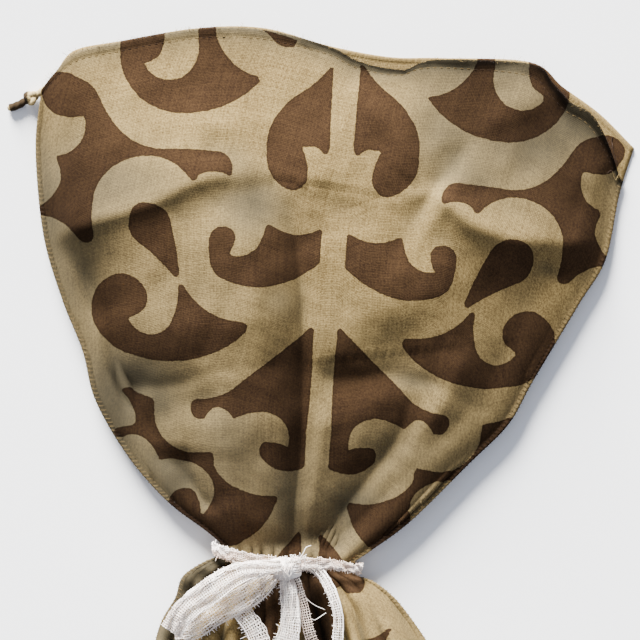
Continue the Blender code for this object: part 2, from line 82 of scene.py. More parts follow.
# How the bag lies: the same sizes as its solids. The crown rises from the seams over shares of the
# width that differ at the left and right.
SOLID_CLOTH = 1.5
SEAM_WIDTH = 3.0
SEWN_GAP = 0.3
PUFF_SIDES = (0.3, 0.5)
PUFF_REACH = (0.19, 0.14)
BOTTOM_REACH = 26.0
NECK_LIFT = 2.6
NECK_HALF_LENGTH = 16.0
LEAST_ROOM = 0.7
ARCH = 38.0
ARCH_FADE = 3
MOUTH_FADE = 9
PROFILE_SOFTENING = 4.0
BACK_TURN = 26.0
BACK_TURN_SHARE = 0.22
CORD_ROOM = 4.4
CORD_ROOM_REACH = 22.0

# Outline of the panels, columns x, y, read down each side from the mouth.
LEFT_BODY = [
    (-146.5, 172.5), (-149.5, 142.5), (-145.5, 100.0), (-136.0, 67.5), (-126.0, 42.5),
    (-119.5, 17.5), (-103.5, -10.0), (-84.0, -32.5), (-65.0, -47.0), (-57.0, -53.5)]
RIGHT_BODY = [
    (149.5, 143.5), (142.0, 120.0), (135.0, 87.5), (121.5, 65.0), (99.0, 27.5),
    (86.5, 5.5), (67.5, -13.5), (38.0, -42.5), (18.5, -57.0), (9.5, -63.0)]
LEFT_FLARE = [
    (-57.0, -53.5), (-57.5, -59.5), (-66.0, -63.5), (-76.0, -70.5), (-79.5, -81.0), (-87.5, -96.5),
    (-93.5, -127.5), (-98.5, -162.5), (-97.5, -190.0)]
RIGHT_FLARE = [
    (9.5, -63.0), (10.0, -69.5), (21.0, -74.5), (32.0, -84.0), (45.0, -102.5), (60.0, -127.5),
    (71.5, -160.0), (72.5, -191.5)]

# Mouth and bottom edges, columns x, y, from left to right.
BACK_MOUTH = [
    (-146.5, 172.5), (-139.0, 182.5), (-130.0, 192.5), (-107.5, 197.0), (-68.5, 203.5),
    (-35.5, 203.5), (-2.5, 194.5), (27.5, 189.0), (52.5, 188.5), (97.5, 186.5),
    (114.0, 174.0), (132.5, 160.5), (149.5, 143.5)]
FRONT_MOUTH = [
    (-146.5, 172.5), (-139.0, 181.5), (-129.5, 191.0), (-107.5, 196.0), (-68.5, 202.5),
    (-35.5, 202.0), (-2.5, 193.5), (12.5, 186.0), (33.5, 182.0), (50.5, 187.0),
    (97.5, 185.0), (108.5, 175.5), (117.5, 166.0), (127.5, 160.5), (135.0, 148.5),
    (143.0, 126.5)]
FRONT_RIGHT_START = 0.068
TIE_LINE = [(-57.0, -56.5), (9.5, -66.3)]
BOTTOM = [(-97.5, -190.0), (-67.5, -198.5), (-12.5, -204.4), (42.5, -200.0), (72.5, -191.5)]

# Height of the front over the seams: distance from the mouth along the cloth, height.
FRONT_CROWN = [
    (0.0, 8.5), (20.0, 13.5), (50.0, 20.5), (100.0, 25.5), (150.0, 24.5), (190.0, 20.0),
    (230.0, 13.5), (258.0, 8.0), (276.0, 11.5), (300.0, 14.0), (340.0, 13.0), (400.0, 11.0)]

# Height of the side seams over the surface: distance from the tie towards the mouth, height.
SEAM_RISE = [
    (-145.0, 0.0), (-80.0, 3.0), (-30.0, 5.0), (0.0, 6.5), (20.0, 6.0), (60.0, 5.0),
    (150.0, 4.0), (185.0, 1.2), (204.0, 0.0)]

# Folds of the front panel: name, height over the cloth, reach to the left of the path, reach to
# its right, shares of the path over which it grows at its start and dies out at its end, and the
# path's x, y.
FOLDS = [
    ("packing crease, left", 7.5, 38, 8, 0.15, 0.35,
     [(-145.0, 96.0), (-122.5, 105.5), (-90.0, 116.0), (-67.5, 126.5), (-47.5, 129.5),
      (-33.0, 128.0)]),
    ("packing crease, middle", 0.9, 14, 3, 0.25, 0.25,
     [(-30.0, 127.5), (7.5, 119.0), (25.0, 116.0), (50.0, 120.0)]),
    ("packing crease, right", 7.0, 22, 14, 0.12, 0.10,
     [(47.5, 121.0), (57.5, 114.0), (70.0, 103.5), (85.0, 98.0), (105.0, 95.5), (137.5, 96.0)]),
    ("packing crease, right start", 3.6, 10, 6, 0.20, 0.30,
     [(46.0, 121.0), (57.5, 113.0), (70.0, 103.0), (84.0, 97.0)]),
    ("lower crease, left", -9.4, 18, 46, 0.08, 0.85,
     [(-121.0, 25.0), (-105.0, 24.0), (-90.0, 24.0), (-75.0, 26.5), (-60.0, 31.5), (-36.5, 34.5),
      (-18.5, 36.5)]),
    ("lower crease, right", -5.4, 11, 16, 0.20, 0.20,
     [(-13.5, 31.5), (5.0, 28.5), (27.5, 30.5), (45.0, 27.5), (58.5, 21.5)]),
    ("tent ridge", 4.0, 22, 14, 0.20, 0.40,
     [(-46.0, 126.0), (-42.0, 95.0), (-38.0, 60.0), (-36.0, 30.0)]),
    ("middle valley", -10.5, 42, 11, 0.20, 0.05,
     [(-30.0, 125.0), (-19.0, 92.5), (-16.5, 62.5), (-16.0, 32.5), (-16.5, -2.5), (-19.5, -32.5),
      (-22.0, -62.0)]),
    ("slanting valley", -7.5, 12, 13, 0.45, 0.10,
     [(38.5, 25.0), (32.5, 2.5), (18.5, -18.5), (3.5, -38.5), (-8.5, -60.0)]),
    ("slanting ridge", 1.3, 9, 10, 0.15, 0.10,
     [(58.5, 21.0), (33.5, -10.0), (13.5, -35.0), (0.0, -58.0)]),
    ("right hollow", -1.2, 8, 8, 0.30, 0.30, [(58.5, 21.5), (72.5, 13.5), (86.5, 5.5)]),
    ("left side trough", -3.0, 14, 6, 0.15, 0.35,
     [(-142.5, 94.5), (-130.5, 84.5), (-124.5, 67.5), (-122.0, 50.0)]),
    ("left low ridge", 2.0, 14, 8, 0.25, 0.25,
     [(-116.0, 9.5), (-100.0, -1.0), (-83.5, -7.5), (-75.5, -17.5)]),
    ("left low trough", -5.0, 10, 12, 0.25, 0.25, [(-72.5, -2.5), (-71.5, -20.0), (-60.0, -42.5)]),
    ("tent hollow", -2.5, 15, 15, 0.45, 0.45, [(-60.0, 155.0), (-60.0, 130.0)]),
    ("upper ridge", 4.0, 26, 14, 0.30, 0.30,
     [(5.0, 175.0), (27.5, 152.5), (37.5, 132.5), (42.5, 121.0)]),
    ("mouth corner ridge", 3.2, 14, 24, 0.25, 0.25,
     [(96.5, 181.5), (106.5, 157.5), (120.0, 135.0), (136.5, 115.0)]),
    ("right broad hollow", -1.7, 24, 24, 0.30, 0.30,
     [(102.5, 78.0), (88.0, 50.0), (72.5, 22.5)]),
    ("right side trough", -2.0, 6, 6, 0.25, 0.25, [(97.5, 88.5), (115.0, 77.5), (132.5, 72.5)]),
    ("left lobe", 4.0, 12, 12, 0.25, 0.25, [(-56.5, 20.0), (-53.5, -7.5), (-44.0, -50.0)]),
    ("middle lobe", 2.5, 7, 7, 0.25, 0.15, [(-5.0, 22.5), (-7.5, -7.5), (-14.5, -55.0)]),
    ("flare rim", 4.0, 7, 7, 0.10, 0.40,
     [(-58.0, -62.0), (-65.0, -67.0), (-73.5, -73.5), (-76.5, -83.0), (-84.0, -98.0), (-90.0, -128.0),
      (-93.0, -165.0)]),
    ("flare left valley", -9.0, 5, 7, 0.10, 0.60,
     [(-52.0, -63.0), (-60.0, -70.5), (-68.0, -77.5), (-71.5, -86.0), (-77.0, -101.0), (-81.0, -130.0),
      (-82.0, -180.0)]),
    ("flare left lobe", 4.0, 12, 12, 0.15, 0.50,
     [(-36.5, -66.0), (-43.5, -87.5), (-48.0, -112.5), (-50.0, -142.5), (-52.0, -180.0)]),
    ("flare middle valley", -12.0, 9, 8, 0.08, 0.70,
     [(-19.0, -62.0), (-10.5, -82.5), (-5.0, -102.5), (-1.0, -132.5), (1.0, -185.0)]),
    ("flare right lobe", 4.0, 14, 14, 0.15, 0.50,
     [(0.0, -68.0), (18.5, -87.5), (31.5, -112.5), (38.5, -142.5), (41.5, -180.0)])]
CREST_RADIUS = 1.8
FOLD_END = 0.25
FOLD_EDGE = 16.0
FOLD_EDGE_SHARE = 0.2
FOLD_BOTTOM = (3.0, 33.0)
FOLD_STATIONS = 24

# Dents and swells: name, height, middle's x, y, half width in x and y, turn in degrees.
DENTS = [
    ("sunk left side", -6.0, -124.0, 56.0, 19.0, 32.0, 12.0),
    ("sunk low left", -3.5, -96.0, -2.0, 20.0, 14.0, -45.0),
    ("dent over the lower crease", -4.4, 31.0, 45.0, 15.0, 15.0, 0.0),
    ("swell over the tie", 3.0, -40.0, -46.0, 18.0, 11.0, 0.0),
    ("swell by the side", 2.5, 56.0, -13.0, 14.0, 12.0, 0.0),
    ("swell under the drop", 2.2, -76.0, 54.0, 20.0, 15.0, 0.0),
    ("dent beside the tent", -2.6, -43.0, 112.0, 14.0, 11.0, 0.0),
    ("swell below the tent", 2.4, -61.0, 31.0, 20.0, 11.0, 0.0),
    ("dent over the side", -3.0, 95.0, 75.0, 26.0, 16.0, 35.0)]

# Patches of painted shade on the front, greyed: columns x, y, half width in x and y, share.
SHADE_PATCHES = [
    (-138.0, 108.0, 24.0, 46.0, 0.34), (-104.0, 25.0, 38.0, 26.0, 0.28), (-110.0, 8.0, 12.0, 26.0, 0.3),
    (-45.0, -30.0, 60.0, 40.0, 0.16), (-131.0, 72.0, 10.0, 14.0, 0.12), (34.0, -12.0, 30.0, 22.0, 0.14),
    (78.0, 155.0, 44.0, 34.0, 0.42), (112.0, 120.0, 36.0, 30.0, 0.16), (120.0, 155.0, 16.0, 11.0, 0.3),
    (-100.0, 126.0, 34.0, 15.0, 0.3), (-52.0, 0.0, 14.0, 22.0, 0.2), (-56.5, -63.5, 6.0, 3.5, 1.0),
    (-65.0, -69.0, 6.0, 4.0, 1.0), (-72.5, -75.5, 5.0, 5.0, 1.0), (-77.0, -86.0, 4.5, 7.0, 0.9),
    (-83.0, -101.0, 4.0, 9.0, 0.8), (-24.0, -30.0, 8.0, 22.0, 0.25), (-9.0, -92.0, 7.5, 22.0, 0.95),
    (38.0, -100.0, 40.0, 35.0, 0.12), (70.0, 20.0, 40.0, 45.0, 0.1), (52.0, 150.0, 16.0, 24.0, 0.2),
    (-92.0, 33.0, 16.0, 8.0, 0.25), (-40.0, 114.0, 15.0, 14.0, 0.6), (-50.0, 136.0, 10.0, 8.0, 0.2),
    (14.0, -34.0, 12.0, 8.0, 0.3), (104.0, 143.0, 18.0, 12.0, 0.3), (-78.0, -22.0, 9.0, 9.0, 0.4),
    (-87.0, 16.0, 8.0, 7.0, 0.3), (-88.0, -12.0, 8.0, 7.0, 0.25), (6.0, -40.0, 9.0, 13.0, 0.3),
    (-27.0, 67.0, 9.0, 9.0, 0.25), (38.0, 27.0, 9.0, 5.0, 0.3), (67.0, 126.0, 12.0, 10.0, 0.24),
    (-68.0, 80.0, 40.0, 32.0, 0.15), (-112.0, 128.0, 22.0, 26.0, 0.1)]

# The rest of the front's darkening. Along the mouth a dark rim is a sharp core with a soft halo of
# painted shade, each with its strength and reach, and a share that changes along the mouth. Painted
# shade grows towards the tie, lies along the left side, and darkens what is deeper than the cloth
# around it, most so on the flare.
HEM_DARK_RIM = (1.1, 2.8)
HEM_PAINTED_SHADE = (0.36, 8.0)
HEM_DARKENING_ALONG = [(0.1, 0.35), (0.35, 0.6), (0.5, 1.0), (0.72, 1.0), (0.76, 0.7), (0.9, 1.0)]
SHADE_TOWARDS_TIE = [(0.28, 0.02), (0.6, 0.28), (TIE, 0.28), (TIE + 0.04, 0.0)]
LEFT_SIDE_SHADE = (0.22, 0.12)
LEFT_SIDE_SHADE_FROM = [(0.02, 0.0), (0.15, 1.0)]
HOLLOW_REACH = 7
HOLLOW_FROM = 0.15
HOLLOW_DEEPEST = 1.6
HOLLOW_SHADE = 0.12
HOLLOW_ALONG = [(TIE, 1.0), (TIE + 0.03, 2.6)]
MOST_DARKENING = 1.15
BACK_SOIL = 0.02

# Waves that both panels share at the closed bottom: share of the width, height, half width.
BOTTOM_WAVES = [(0.10, 3.0, 0.05), (0.34, 5.0, 0.08), (0.55, 2.0, 0.05), (0.76, 6.0, 0.09)]

# Gathers pinched in by the ribbon: share of the width, depth, half width as a share.
NECK_PLEATS = [
    (0.07, 2.0, 0.020), (0.15, 3.2, 0.024), (0.24, 2.4, 0.018), (0.31, 3.6, 0.024),
    (0.40, 2.6, 0.020), (0.50, 3.4, 0.022), (0.60, 3.0, 0.022), (0.69, 3.6, 0.026),
    (0.79, 2.6, 0.020), (0.88, 3.4, 0.026)]
PLEAT_REACH_UP = 2.5
PLEAT_REACH_DOWN = 42.0

# Gathers that run into the tie and on to the bottom: how many, the share of the width over which
# they end at each side, and their height on each panel at shares of the panel's length.
GATHERS = 12.5
BACK_COUNT = 25.5
GATHER_ENDS = 0.05
FRONT_GATHERS = [
    (0.645, 0.0), (0.66, 0.4), (0.69, 0.8), (0.74, 1.2), (0.79, 3.4), (0.88, 4.3), (1.0, 4.0)]
BACK_GATHERS = [(0.12, 0.0), (0.30, 1.6), (0.50, 1.7), (0.60, 0.6), (0.645, 0.0)]

# Crumples all over the cloth: wavelength and height.
CRUMPLES = [(46.0, 0.45), (21.0, 0.2), (10.0, 0.07)]
CRUMPLE_WAVES = 18

# The mouth's rolled hem, and the groove of its stitches: place from the mouth, half width, depth.
HEM_WIDTH = 3.0
HEM_GROOVE = (3.6, 0.8, 0.05)
EDGE_ROUND = 0.9
FRONT_GRID = (196, 222)
BACK_GRID = (120, 130)

# One half of the print's ornament, drawn with arcs between corners: rows of x, y and bow, clockwise
# from the motif's own corner. The bow is how far the arc to the next corner swells outwards, as a
# share of its chord, and below zero it is hollow.
MOTIFS = {
    "mouth scroll": [
        (0.5, 0, 0.12), (-42, -16.5, 0.17), (-70, 9.5, 0), (-70, 28, 0), (-48, 28, 0.08),
        (-50.5, 12, 0), (-58, 8, -0.2), (-39, 1.5, -0.16), (-31, 20, 0), (-30.5, 34, 0),
        (-22.5, 34, 0), (-22, 22, -0.14), (0, 1.5, 0.3)],
    "half heart": [
        (0.5, 1, 0.3), (1.5, -1.5, 0), (0, -38, 0.08), (-1.5, -43, 0.3), (-4, -42, -0.1), (-8, -39.5, 0),
        (-14, -39.5, 0.07), (-11, -55, 0.3), (-25, -58, 0.15), (-31.5, -40, 0.1), (-24, -20.5, 0.05),
        (-15.5, -13, -0.05)],
    "cross": [
        (-12, 5, 0.24), (6.5, 9, 0.12), (18.5, -2.5, -0.04), (28, -17.5, -0.1), (50, -27.5, 0.02),
        (74, -28.5, 0.2), (84, -35, 0.1), (83, -41, -0.12), (67.5, -40.5, 0.2), (64, -43.5, -0.15),
        (39, -31, -0.15), (16, -48, -0.05), (15.5, -70, 0.25), (10, -73, 0), (8, -71.5, -0.12),
        (-10, -60, 0), (-14, -59.5, 0), (-14, -56, -0.1), (-1, -43.5, -0.08), (-4, -30.5, -0.2),
        (11, -16, 0), (10.5, -10.5, 0.07), (-4, -9.5, 0.12)],
    "drop": [
        (-10, 0.5, 0.25), (0, 8.5, 0.2), (11, -2.5, 0.02), (15, -26, 0.35), (12.5, -28, -0.03),
        (-7, -9.5, 0.12)],
    "crescent": [
        (-0.5, 0.5, 0.3), (0.5, -1.5, 0), (-0.5, -16.5, 0.07), (-29.5, -28.5, 0.06), (-50, -23.5, 0.12),
        (-55, -13.5, 0.04), (-55, -3.5, 0.2), (-48, 1.5, 0.22), (-42, -4, 0.06), (-45.5, -12.5, -0.15),
        (-31.5, -8.5, -0.03), (-27.5, 1.5, 0.2), (-25.5, 2.5, -0.15)],
    "fish hook": [
        (-2, 12.5, 0.13), (10.5, 6.5, 0.12), (12.5, -2.5, 0.1), (8.5, -7.5, 0), (3, -10, -0.13),
        (14, -18, -0.18), (25.5, -9.5, -0.05), (28, 6, 0.35), (31, 5.5, -0.13), (59.5, -12, 0.3),
        (62, -16, 0.07), (43, -28, 0.05), (25.5, -31, 0.05), (5.5, -28, 0.09), (-12, -17, 0.1),
        (-16, -2.5, 0.16)],
    "half arrow": [
        (-0.5, 0, 0.3), (1, -3, 0.01), (-2.5, -51.5, 0), (-3.5, -70, 0.05), (-13, -71.5, 0.1),
        (-23, -67, 0.2), (-25.5, -58, 0.2), (-21, -57, 0.08), (-12.5, -59.5, -0.24),
        (-23, -42, -0.06), (-39, -45.5, -0.42), (-53, -45.5, 0.3), (-60, -39, 0.25),
        (-56, -35.5, -0.1), (-36, -28, 0)],
    "branch": [
        (0, 0, 0.1), (0.5, -6.5, -0.08), (10.5, -17.5, -0.08), (30.5, -22, 0.3), (30.5, -26, 0.1),
        (15.5, -44, 0.12), (5.5, -47.5, 0), (-9, -38, 0), (-23, -26.5, 0), (-21.5, -23, 0.15),
        (-15.5, -19, 0.25), (-8, -24.5, 0.1), (-6.5, -33, -0.1), (1, -20.5, -0.14),
        (-5.5, -8.2, -0.08), (-14, -5, 0), (-21, -3.5, 0), (-27.5, -5, -0.1), (-33, 4.5, -0.12),
        (-42, 8, 0.02), (-47.5, 6.5, 0.4), (-48, 11.5, 0), (-41, 12.5, -0.15), (-39, 15.5, -0.1),
        (-46, 30.5, 0.15), (-42, 31, -0.03), (-29, 26, -0.02), (-29, 17.5, -0.1), (-23, 5, -0.08),
        (-9.5, -0.5, 0)],
    "leaf tip": [(0, 0.5, 0.3), (1, -1, 0), (1.5, -14, 0), (-12, -14, 0.03)],
    "hem sliver": [(-1, 3, 0), (18, 3, 0), (17, -1, 0.1), (8, -1.5, -0.05)],
    "flare hook": [
        (-2, 3, 0), (14, 1, 0.1), (19, -5, 0.2), (17, -11, 0.1), (11, -10, -0.2), (5, -9, 0.1),
        (4, -19, 0), (0, -18, -0.1)],
    "flare leaf": [(0, 0.5, 0.2), (0.5, -1.5, 0.12), (-8, -11, 0.05), (-27, -16, 0), (-27, -5, -0.12)]}

# Where each motif is printed: its name, the corner's x and y, turn in degrees, scale, and whether it
# is the mirrored half. The last rows go on with the pattern where the bow and the view's end hide it.
PRINT = [
    ("mouth scroll", -37.0, 176.5, 0.0, 1.0, False),
    ("mouth scroll", 46.5, 166.5, -6.5, 1.0, True),
    ("half heart", -2.5, 182.5, 0.0, 1.0, False),
    ("half heart", 14.5, 183.5, -7.8, 1.04, True),
    ("cross", -135.0, 169.5, 0.0, 1.0, False),
    ("cross", 134.0, 139.5, -9.0, 0.91, True),
    ("drop", -92.0, 107.0, 0.0, 1.0, False),
    ("drop", 87.5, 88.5, -17.0, 1.08, True),
    ("crescent", -7.0, 102.0, 0.0, 1.0, False),
    ("crescent", 6.5, 99.5, -8.0, 0.99, True),
    ("fish hook", -105.5, 68.5, 0.0, 1.0, False),
    ("fish hook", 95.0, 50.0, -10.0, 0.97, True),
    ("half arrow", -11.5, 54.0, 0.0, 1.0, False),
    ("half arrow", 2.5, 53.5, -8.0, 1.0, True),
    ("branch", -60.5, -7.5, 0.0, 1.0, False),
    ("branch", 40.5, -16.0, -8.0, 1.0, True),
    ("leaf tip", -18.0, -48.0, 0.0, 1.0, False),
    ("leaf tip", -7.0, -50.0, 0.0, 1.0, True),
    ("hem sliver", -36.5, 199.0, -17.0, 1.0, False),
    ("flare hook", -5.0, -67.5, 0.0, 1.0, False),
    ("flare leaf", 27.0, -96.0, 0.0, 1.0, False),
    ("drop", -12.0, -76.0, -10.0, 1.2, False),
    ("half heart", -24.0, -68.0, 6.0, 0.62, False),
    ("flare leaf", -45.5, -100.0, -8.0, 0.7, False),
    ("drop", -78.0, -112.0, -20.0, 0.9, False),
    ("crescent", -22.0, -122.0, -6.0, 0.85, False),
    ("crescent", 2.0, -125.0, -8.0, 0.85, True),
    ("half heart", -14.0, -150.0, 0.0, 0.7, False),
    ("half heart", -4.0, -151.0, -6.0, 0.7, True),
    ("fish hook", -72.0, -152.0, 0.0, 0.6, False),
    ("fish hook", 56.0, -158.0, -8.0, 0.6, True)]

# How far round the ornament its depth is worked out, and into how many pieces an arc is cut.
PRINT_REACH = 6.0
ARC_STEPS = 6

# The overlock on the side and bottom seams: how far apart its stitches are, from which grid row
# down the sides have it, how far from a seam's ends it stops, how far it lies over the front and
# under the back, its lowest height, and how far a stitch strays. Last comes one stitch's route,
# columns distance in from the edge, share of the way up from the lowest, and way along the seam.
SEWING_THREAD = 0.26
OVERLOCK_PITCH = 2.3
OVERLOCK_FROM_ROW = 8
OVERLOCK_END = 1.0
OVERLOCK_LIFT = 0.25
OVERLOCK_UNDER = 0.1
OVERLOCK_LOWEST = 0.25
OVERLOCK_WOBBLE = 0.1
OVERLOCK_STITCH = [
    (2.9, 1.0, 1.3), (1.7, 1.12, 0.7), (0.5, 1.06, 0.2), (-0.35, 0.5, 0.0), (0.5, 0.0, -0.2),
    (1.8, 0.0, -0.6)]

# The hem's running stitch: pitch, length, distance from the ends, and its route, columns share of
# the stitch and lift over the cloth.
HEM_STITCH_PITCH = 3.4
HEM_STITCH_LENGTH = 2.4
HEM_STITCH_END = 4.0
HEM_STITCH = [(0.0, -0.25), (0.25, 0.06), (0.75, 0.06), (1.0, -0.25)]

# Loose fibres on the front's mouth edge: how many grow from its upper and its lower face, their
# thickness, the shortest and longest, how they stray from their way out of the cloth, that way,
# how much they bend, and the lowest they come.
FIBRES = (420, 200)
FIBRE_THICKNESS = 0.14
FIBRE_REACH = (0.6, 2.4)
FIBRE_STRAY = (0.8, 0.5, 0.6)
FIBRE_OUT = (0.0, 0.9, 0.1)
FIBRE_BEND = 0.5
FIBRE_LOWEST = 0.02

# Threads frayed out of the hem's end at the right corner: columns x, y. They lie on the highest
# cloth within their reach.
FRAYED = [
    [(138.5, 149.5), (138.5, 143.0), (140.5, 136.0), (142.0, 130.5)],
    [(135.5, 130.5), (138.0, 132.0), (140.0, 127.5), (142.0, 130.5), (143.5, 127.0)]]
FRAYED_REACH = 1.6
FRAYED_THICKNESS = 0.4
FRAYED_LIFT = 0.2
THREAD_STATIONS = 24

# The ribbon's turn round the waist: where it lies, x and y, its stations and threads, its layers
# and the width of one, its width at the sides of the bag, how square it bends there, and how it
# narrows from left to right, columns x and share.
BAND_LINE = [
    (-60.3, -56.5), (-48.0, -60.5), (-33.0, -63.0), (-22.5, -64.0), (-8.0, -63.5), (12.8, -66.3)]
BAND_STATIONS = 190
BAND_THREADS = 20
BAND_LAYERS = 3
BAND_LAYER_GAP = 0.45
BAND_WIDTH_AT_SIDES = 5.0
BAND_SQUARENESS = 0.42
BAND_NARROWS = [(-45.0, 1.1), (5.0, 0.72)]
BAND_OVER_CLOTH = 1.0
BAND_UNDER_BAG = 0.9
BAND_LOWEST = 1.3
BAND_SOIL_LINE = (-60.0, 3.0, 0.6)
BAND_SOIL_ALONG = [(-18.0, 0.0), (2.0, 0.45)]

# Where the ribbon's loops and ends lie: x, y, lift over what is beneath, width, roll in degrees.
LOOP_LEFT_OUT = [
    (-27.0, -63.5, 3.6, 5.5, 8), (-44.0, -66.5, 4.4, 11.0, 14), (-59.0, -74.0, 4.8, 13.5, 10),
    (-73.0, -85.0, 4.4, 13.5, 6), (-81.0, -97.0, 2.2, 12.0, 0)]
LOOP_LEFT_BACK = [
    (-80.0, -97.5, 1.6, 10.0, -4), (-70.0, -95.0, 0.9, 11.0, -8), (-59.0, -88.0, 0.6, 12.0, -10),
    (-46.0, -80.0, 0.9, 12.5, -14), (-36.0, -73.0, 2.4, 10.5, -12), (-28.0, -66.5, 3.4, 6.0, -6)]
LOOP_RIGHT_OUT = [
    (-22.0, -63.5, 3.6, 5.0, 8), (-10.0, -66.0, 3.4, 5.2, 14), (-3.0, -76.0, 3.2, 5.6, 14),
    (1.4, -89.0, 2.6, 5.4, 10), (1.4, -104.5, 1.6, 5.2, 0)]
LOOP_RIGHT_BACK = [
    (2.0, -105.0, 1.2, 5.5, 0), (-6.0, -111.0, 0.6, 5.5, -8), (-12.5, -99.0, 0.4, 5.5, -12),
    (-15.5, -85.0, 0.8, 4.5, -10), (-20.5, -69.0, 3.2, 4.0, -6)]
TAIL_CENTRE = [
    (-25.0, -68.0, 3.4, 6.5, 0), (-22.5, -79.0, 2.4, 9.0, 8), (-22.0, -92.0, 1.2, 11.0, 14),
    (-25.0, -105.0, 0.8, 12.0, 8), (-27.5, -122.0, 0.2, 12.5, 0)]
TAIL_LEFT = [
    (-48.5, -84.0, 0.2, 9.0, 0), (-41.5, -92.5, 0.2, 10.5, 0), (-37.5, -101.5, 0.2, 11.0, 0),
    (-38.5, -114.0, 0.2, 11.5, 0), (-43.5, -130.0, 0.2, 12.0, 0)]

# The ribbon clears the highest point within its foot's reach, and its edges hang this much lower
# than its middle.
RIBBON_CLEARANCE = 0.9
RIBBON_FOOT = 6.0
RIBBON_CUP = 1.0

# Cloth rows that can lie under the bow, and how much wider apart the threads of two ribbons are.
UNDER_BOW_FROM_ROW = 120
LOOSER_WEAVE = 1.12

# The knot: middle's x and y, length, width, height, how deep its middle sinks, its core's size and
# grid, and the threads over it: how many lie round it and along it, and their thickness.
KNOT = (-25.0, -65.5, 13.0, 10.5, 7.5)
KNOT_SINKS = 0.8
KNOT_CORE = 0.84
KNOT_GRID = (60, 96)
KNOT_WRAPS = 150
KNOT_WRAP_THREAD = 0.48
KNOT_CROSSINGS = 46
KNOT_CROSSING_THREAD = 0.44

# Its tuft of cut ends: how many, where they start from the knot's middle, how these places and the
# threads' ways out spread, their way out, and their shortest and longest.
TUFT = 60
TUFT_ROOT = (5.2, 3.6, 2.2)
TUFT_ROOT_SPREAD = (2.2, 0.8, 0.4)
TUFT_OUT = (0.15, 0.8, 0.5)
TUFT_OUT_SPREAD = (0.7, 0.4, 0.35)
TUFT_REACH = (0.9, 2.5)
TUFT_THREAD = 0.34
LOOSE_THREAD = 0.4
LOOSE_SOIL = 0.05

# Threads pulled out of the ribbons: columns x, y, height.
LOOSE_THREADS = [
    [(-34.0, -93.0, 13.5), (-31.0, -95.5, 14.5), (-27.0, -96.5, 15.0), (-23.0, -95.5, 14.5)],
    [(-16.5, -78.0, 15.0), (-13.0, -82.0, 15.5), (-9.5, -84.5, 15.0), (-5.0, -86.5, 14.5)],
    [(-12.0, -91.0, 14.0), (-10.0, -91.5, 15.0), (-7.5, -90.0, 15.0), (-4.5, -88.0, 14.5)],
    [(-60.0, -84.0, 15.0), (-64.0, -88.0, 16.0), (-66.0, -93.0, 15.5), (-66.5, -96.0, 14.5)],
    [(-44.0, -84.0, 15.0), (-43.0, -88.5, 15.0), (-44.5, -92.5, 14.0), (-46.5, -94.0, 13.5)],
    [(-19.0, -62.5, 16.5), (-16.0, -58.5, 17.5), (-14.5, -55.5, 17.0), (-12.0, -54.5, 15.5)]]

# The gauze: the gap between layers folded together, how far a thread swings over and under the
# others, and how far each thread strays from its place.
GAUZE_LAYER = 0.75
GAUZE_WEAVE = 0.14
GAUZE_STRAY = 0.07

# The cord's route: x, y, height of its middle over the surface.
CORD_ROUTE = [
    (-136.5, 179.0, 3.7), (-139.5, 177.0, 3.7), (-142.5, 174.5, 3.7), (-145.8, 172.0, 3.6),
    (-148.0, 170.6, 3.0), (-151.7, 168.6, 2.6), (-155.6, 166.4, 2.0), (-158.5, 164.8, 1.9),
    (-163.6, 163.0, 1.9)]
CORD_STATIONS = 70
CORD_SIDES = 24

# Its three strands: depth of the grooves between them, and how far one turns in a millimetre.
STRAND_GROOVE = 0.12
STRAND_TWIST = 1 / 1.7

# The stained end: where it starts and over what share of the cord the stain comes in, where it
# swells, and where it frays and is clean again.
STAIN_FROM = (0.62, 0.06)
END_SWELLS = [(0.68, 1.0), (0.76, 1.16)]
END_FRAYS_FROM = 0.96
END_CLEAN_FROM = 0.965
END_CLEAN_SOIL = 0.25

# The stopper: middle, the knot's size in x, y and z, its strand's radius and its turns of twist.
CORD_KNOT = (-151.7, 168.6, 3.0)
STOPPER_SIZE = (0.93, 0.868, 0.99)
STOPPER_STRAND = 1.55
STOPPER_TWISTS = 18
STOPPER_STATIONS = 90
STOPPER_SIDES = 12
STOPPER_SOIL = 1.2


def metres(points):
    """Millimetres turned to Blender's metres."""
    return np.asarray(points, dtype=float) * MM


def linear(hex_colour):
    """An sRGB hex colour as linear red, green and blue with full alpha."""
    parts = np.array([int(hex_colour[i:i + 2], 16) for i in (1, 3, 5)]) / 255
    parts = np.where(parts <= 0.04045, parts / 12.92, ((parts + 0.055) / 1.055) ** 2.4)
    return (*parts.tolist(), 1.0)


class BagSizes(bpy.types.PropertyGroup):
    """Sizes that a user may change."""

    burlap: bpy.props.FloatProperty(
        name="Burlap thickness", description="One layer of the panels' cloth",
        default=1.1 * MM, min=0.5 * MM, precision=5, subtype="DISTANCE")
    hem: bpy.props.FloatProperty(
        name="Hem thickness", description="The mouth's rolled hem",
        default=1.4 * MM, min=0.5 * MM, precision=5, subtype="DISTANCE")
    yarn_pitch: bpy.props.FloatProperty(
        name="Burlap yarn pitch", description="From one yarn of the burlap to the next",
        default=0.85 * MM, min=0.2 * MM, precision=5, subtype="DISTANCE")
    band_width: bpy.props.FloatProperty(
        name="Band width", description="The ribbon's width where it crosses the front",
        default=7.0 * MM, min=2 * MM, precision=5, subtype="DISTANCE")
    gauze_pitch: bpy.props.FloatProperty(
        name="Gauze pitch", description="From one thread of the gauze to the next",
        default=1.25 * MM, min=0.5 * MM, precision=5, subtype="DISTANCE")
    gauze_thread: bpy.props.FloatProperty(
        name="Gauze thread", description="Thickness of the gauze's threads",
        default=0.38 * MM, min=0.05 * MM, precision=5, subtype="DISTANCE")
    cord: bpy.props.FloatProperty(
        name="Drawcord", description="The cord's diameter",
        default=3.6 * MM, min=1 * MM, precision=5, subtype="DISTANCE")


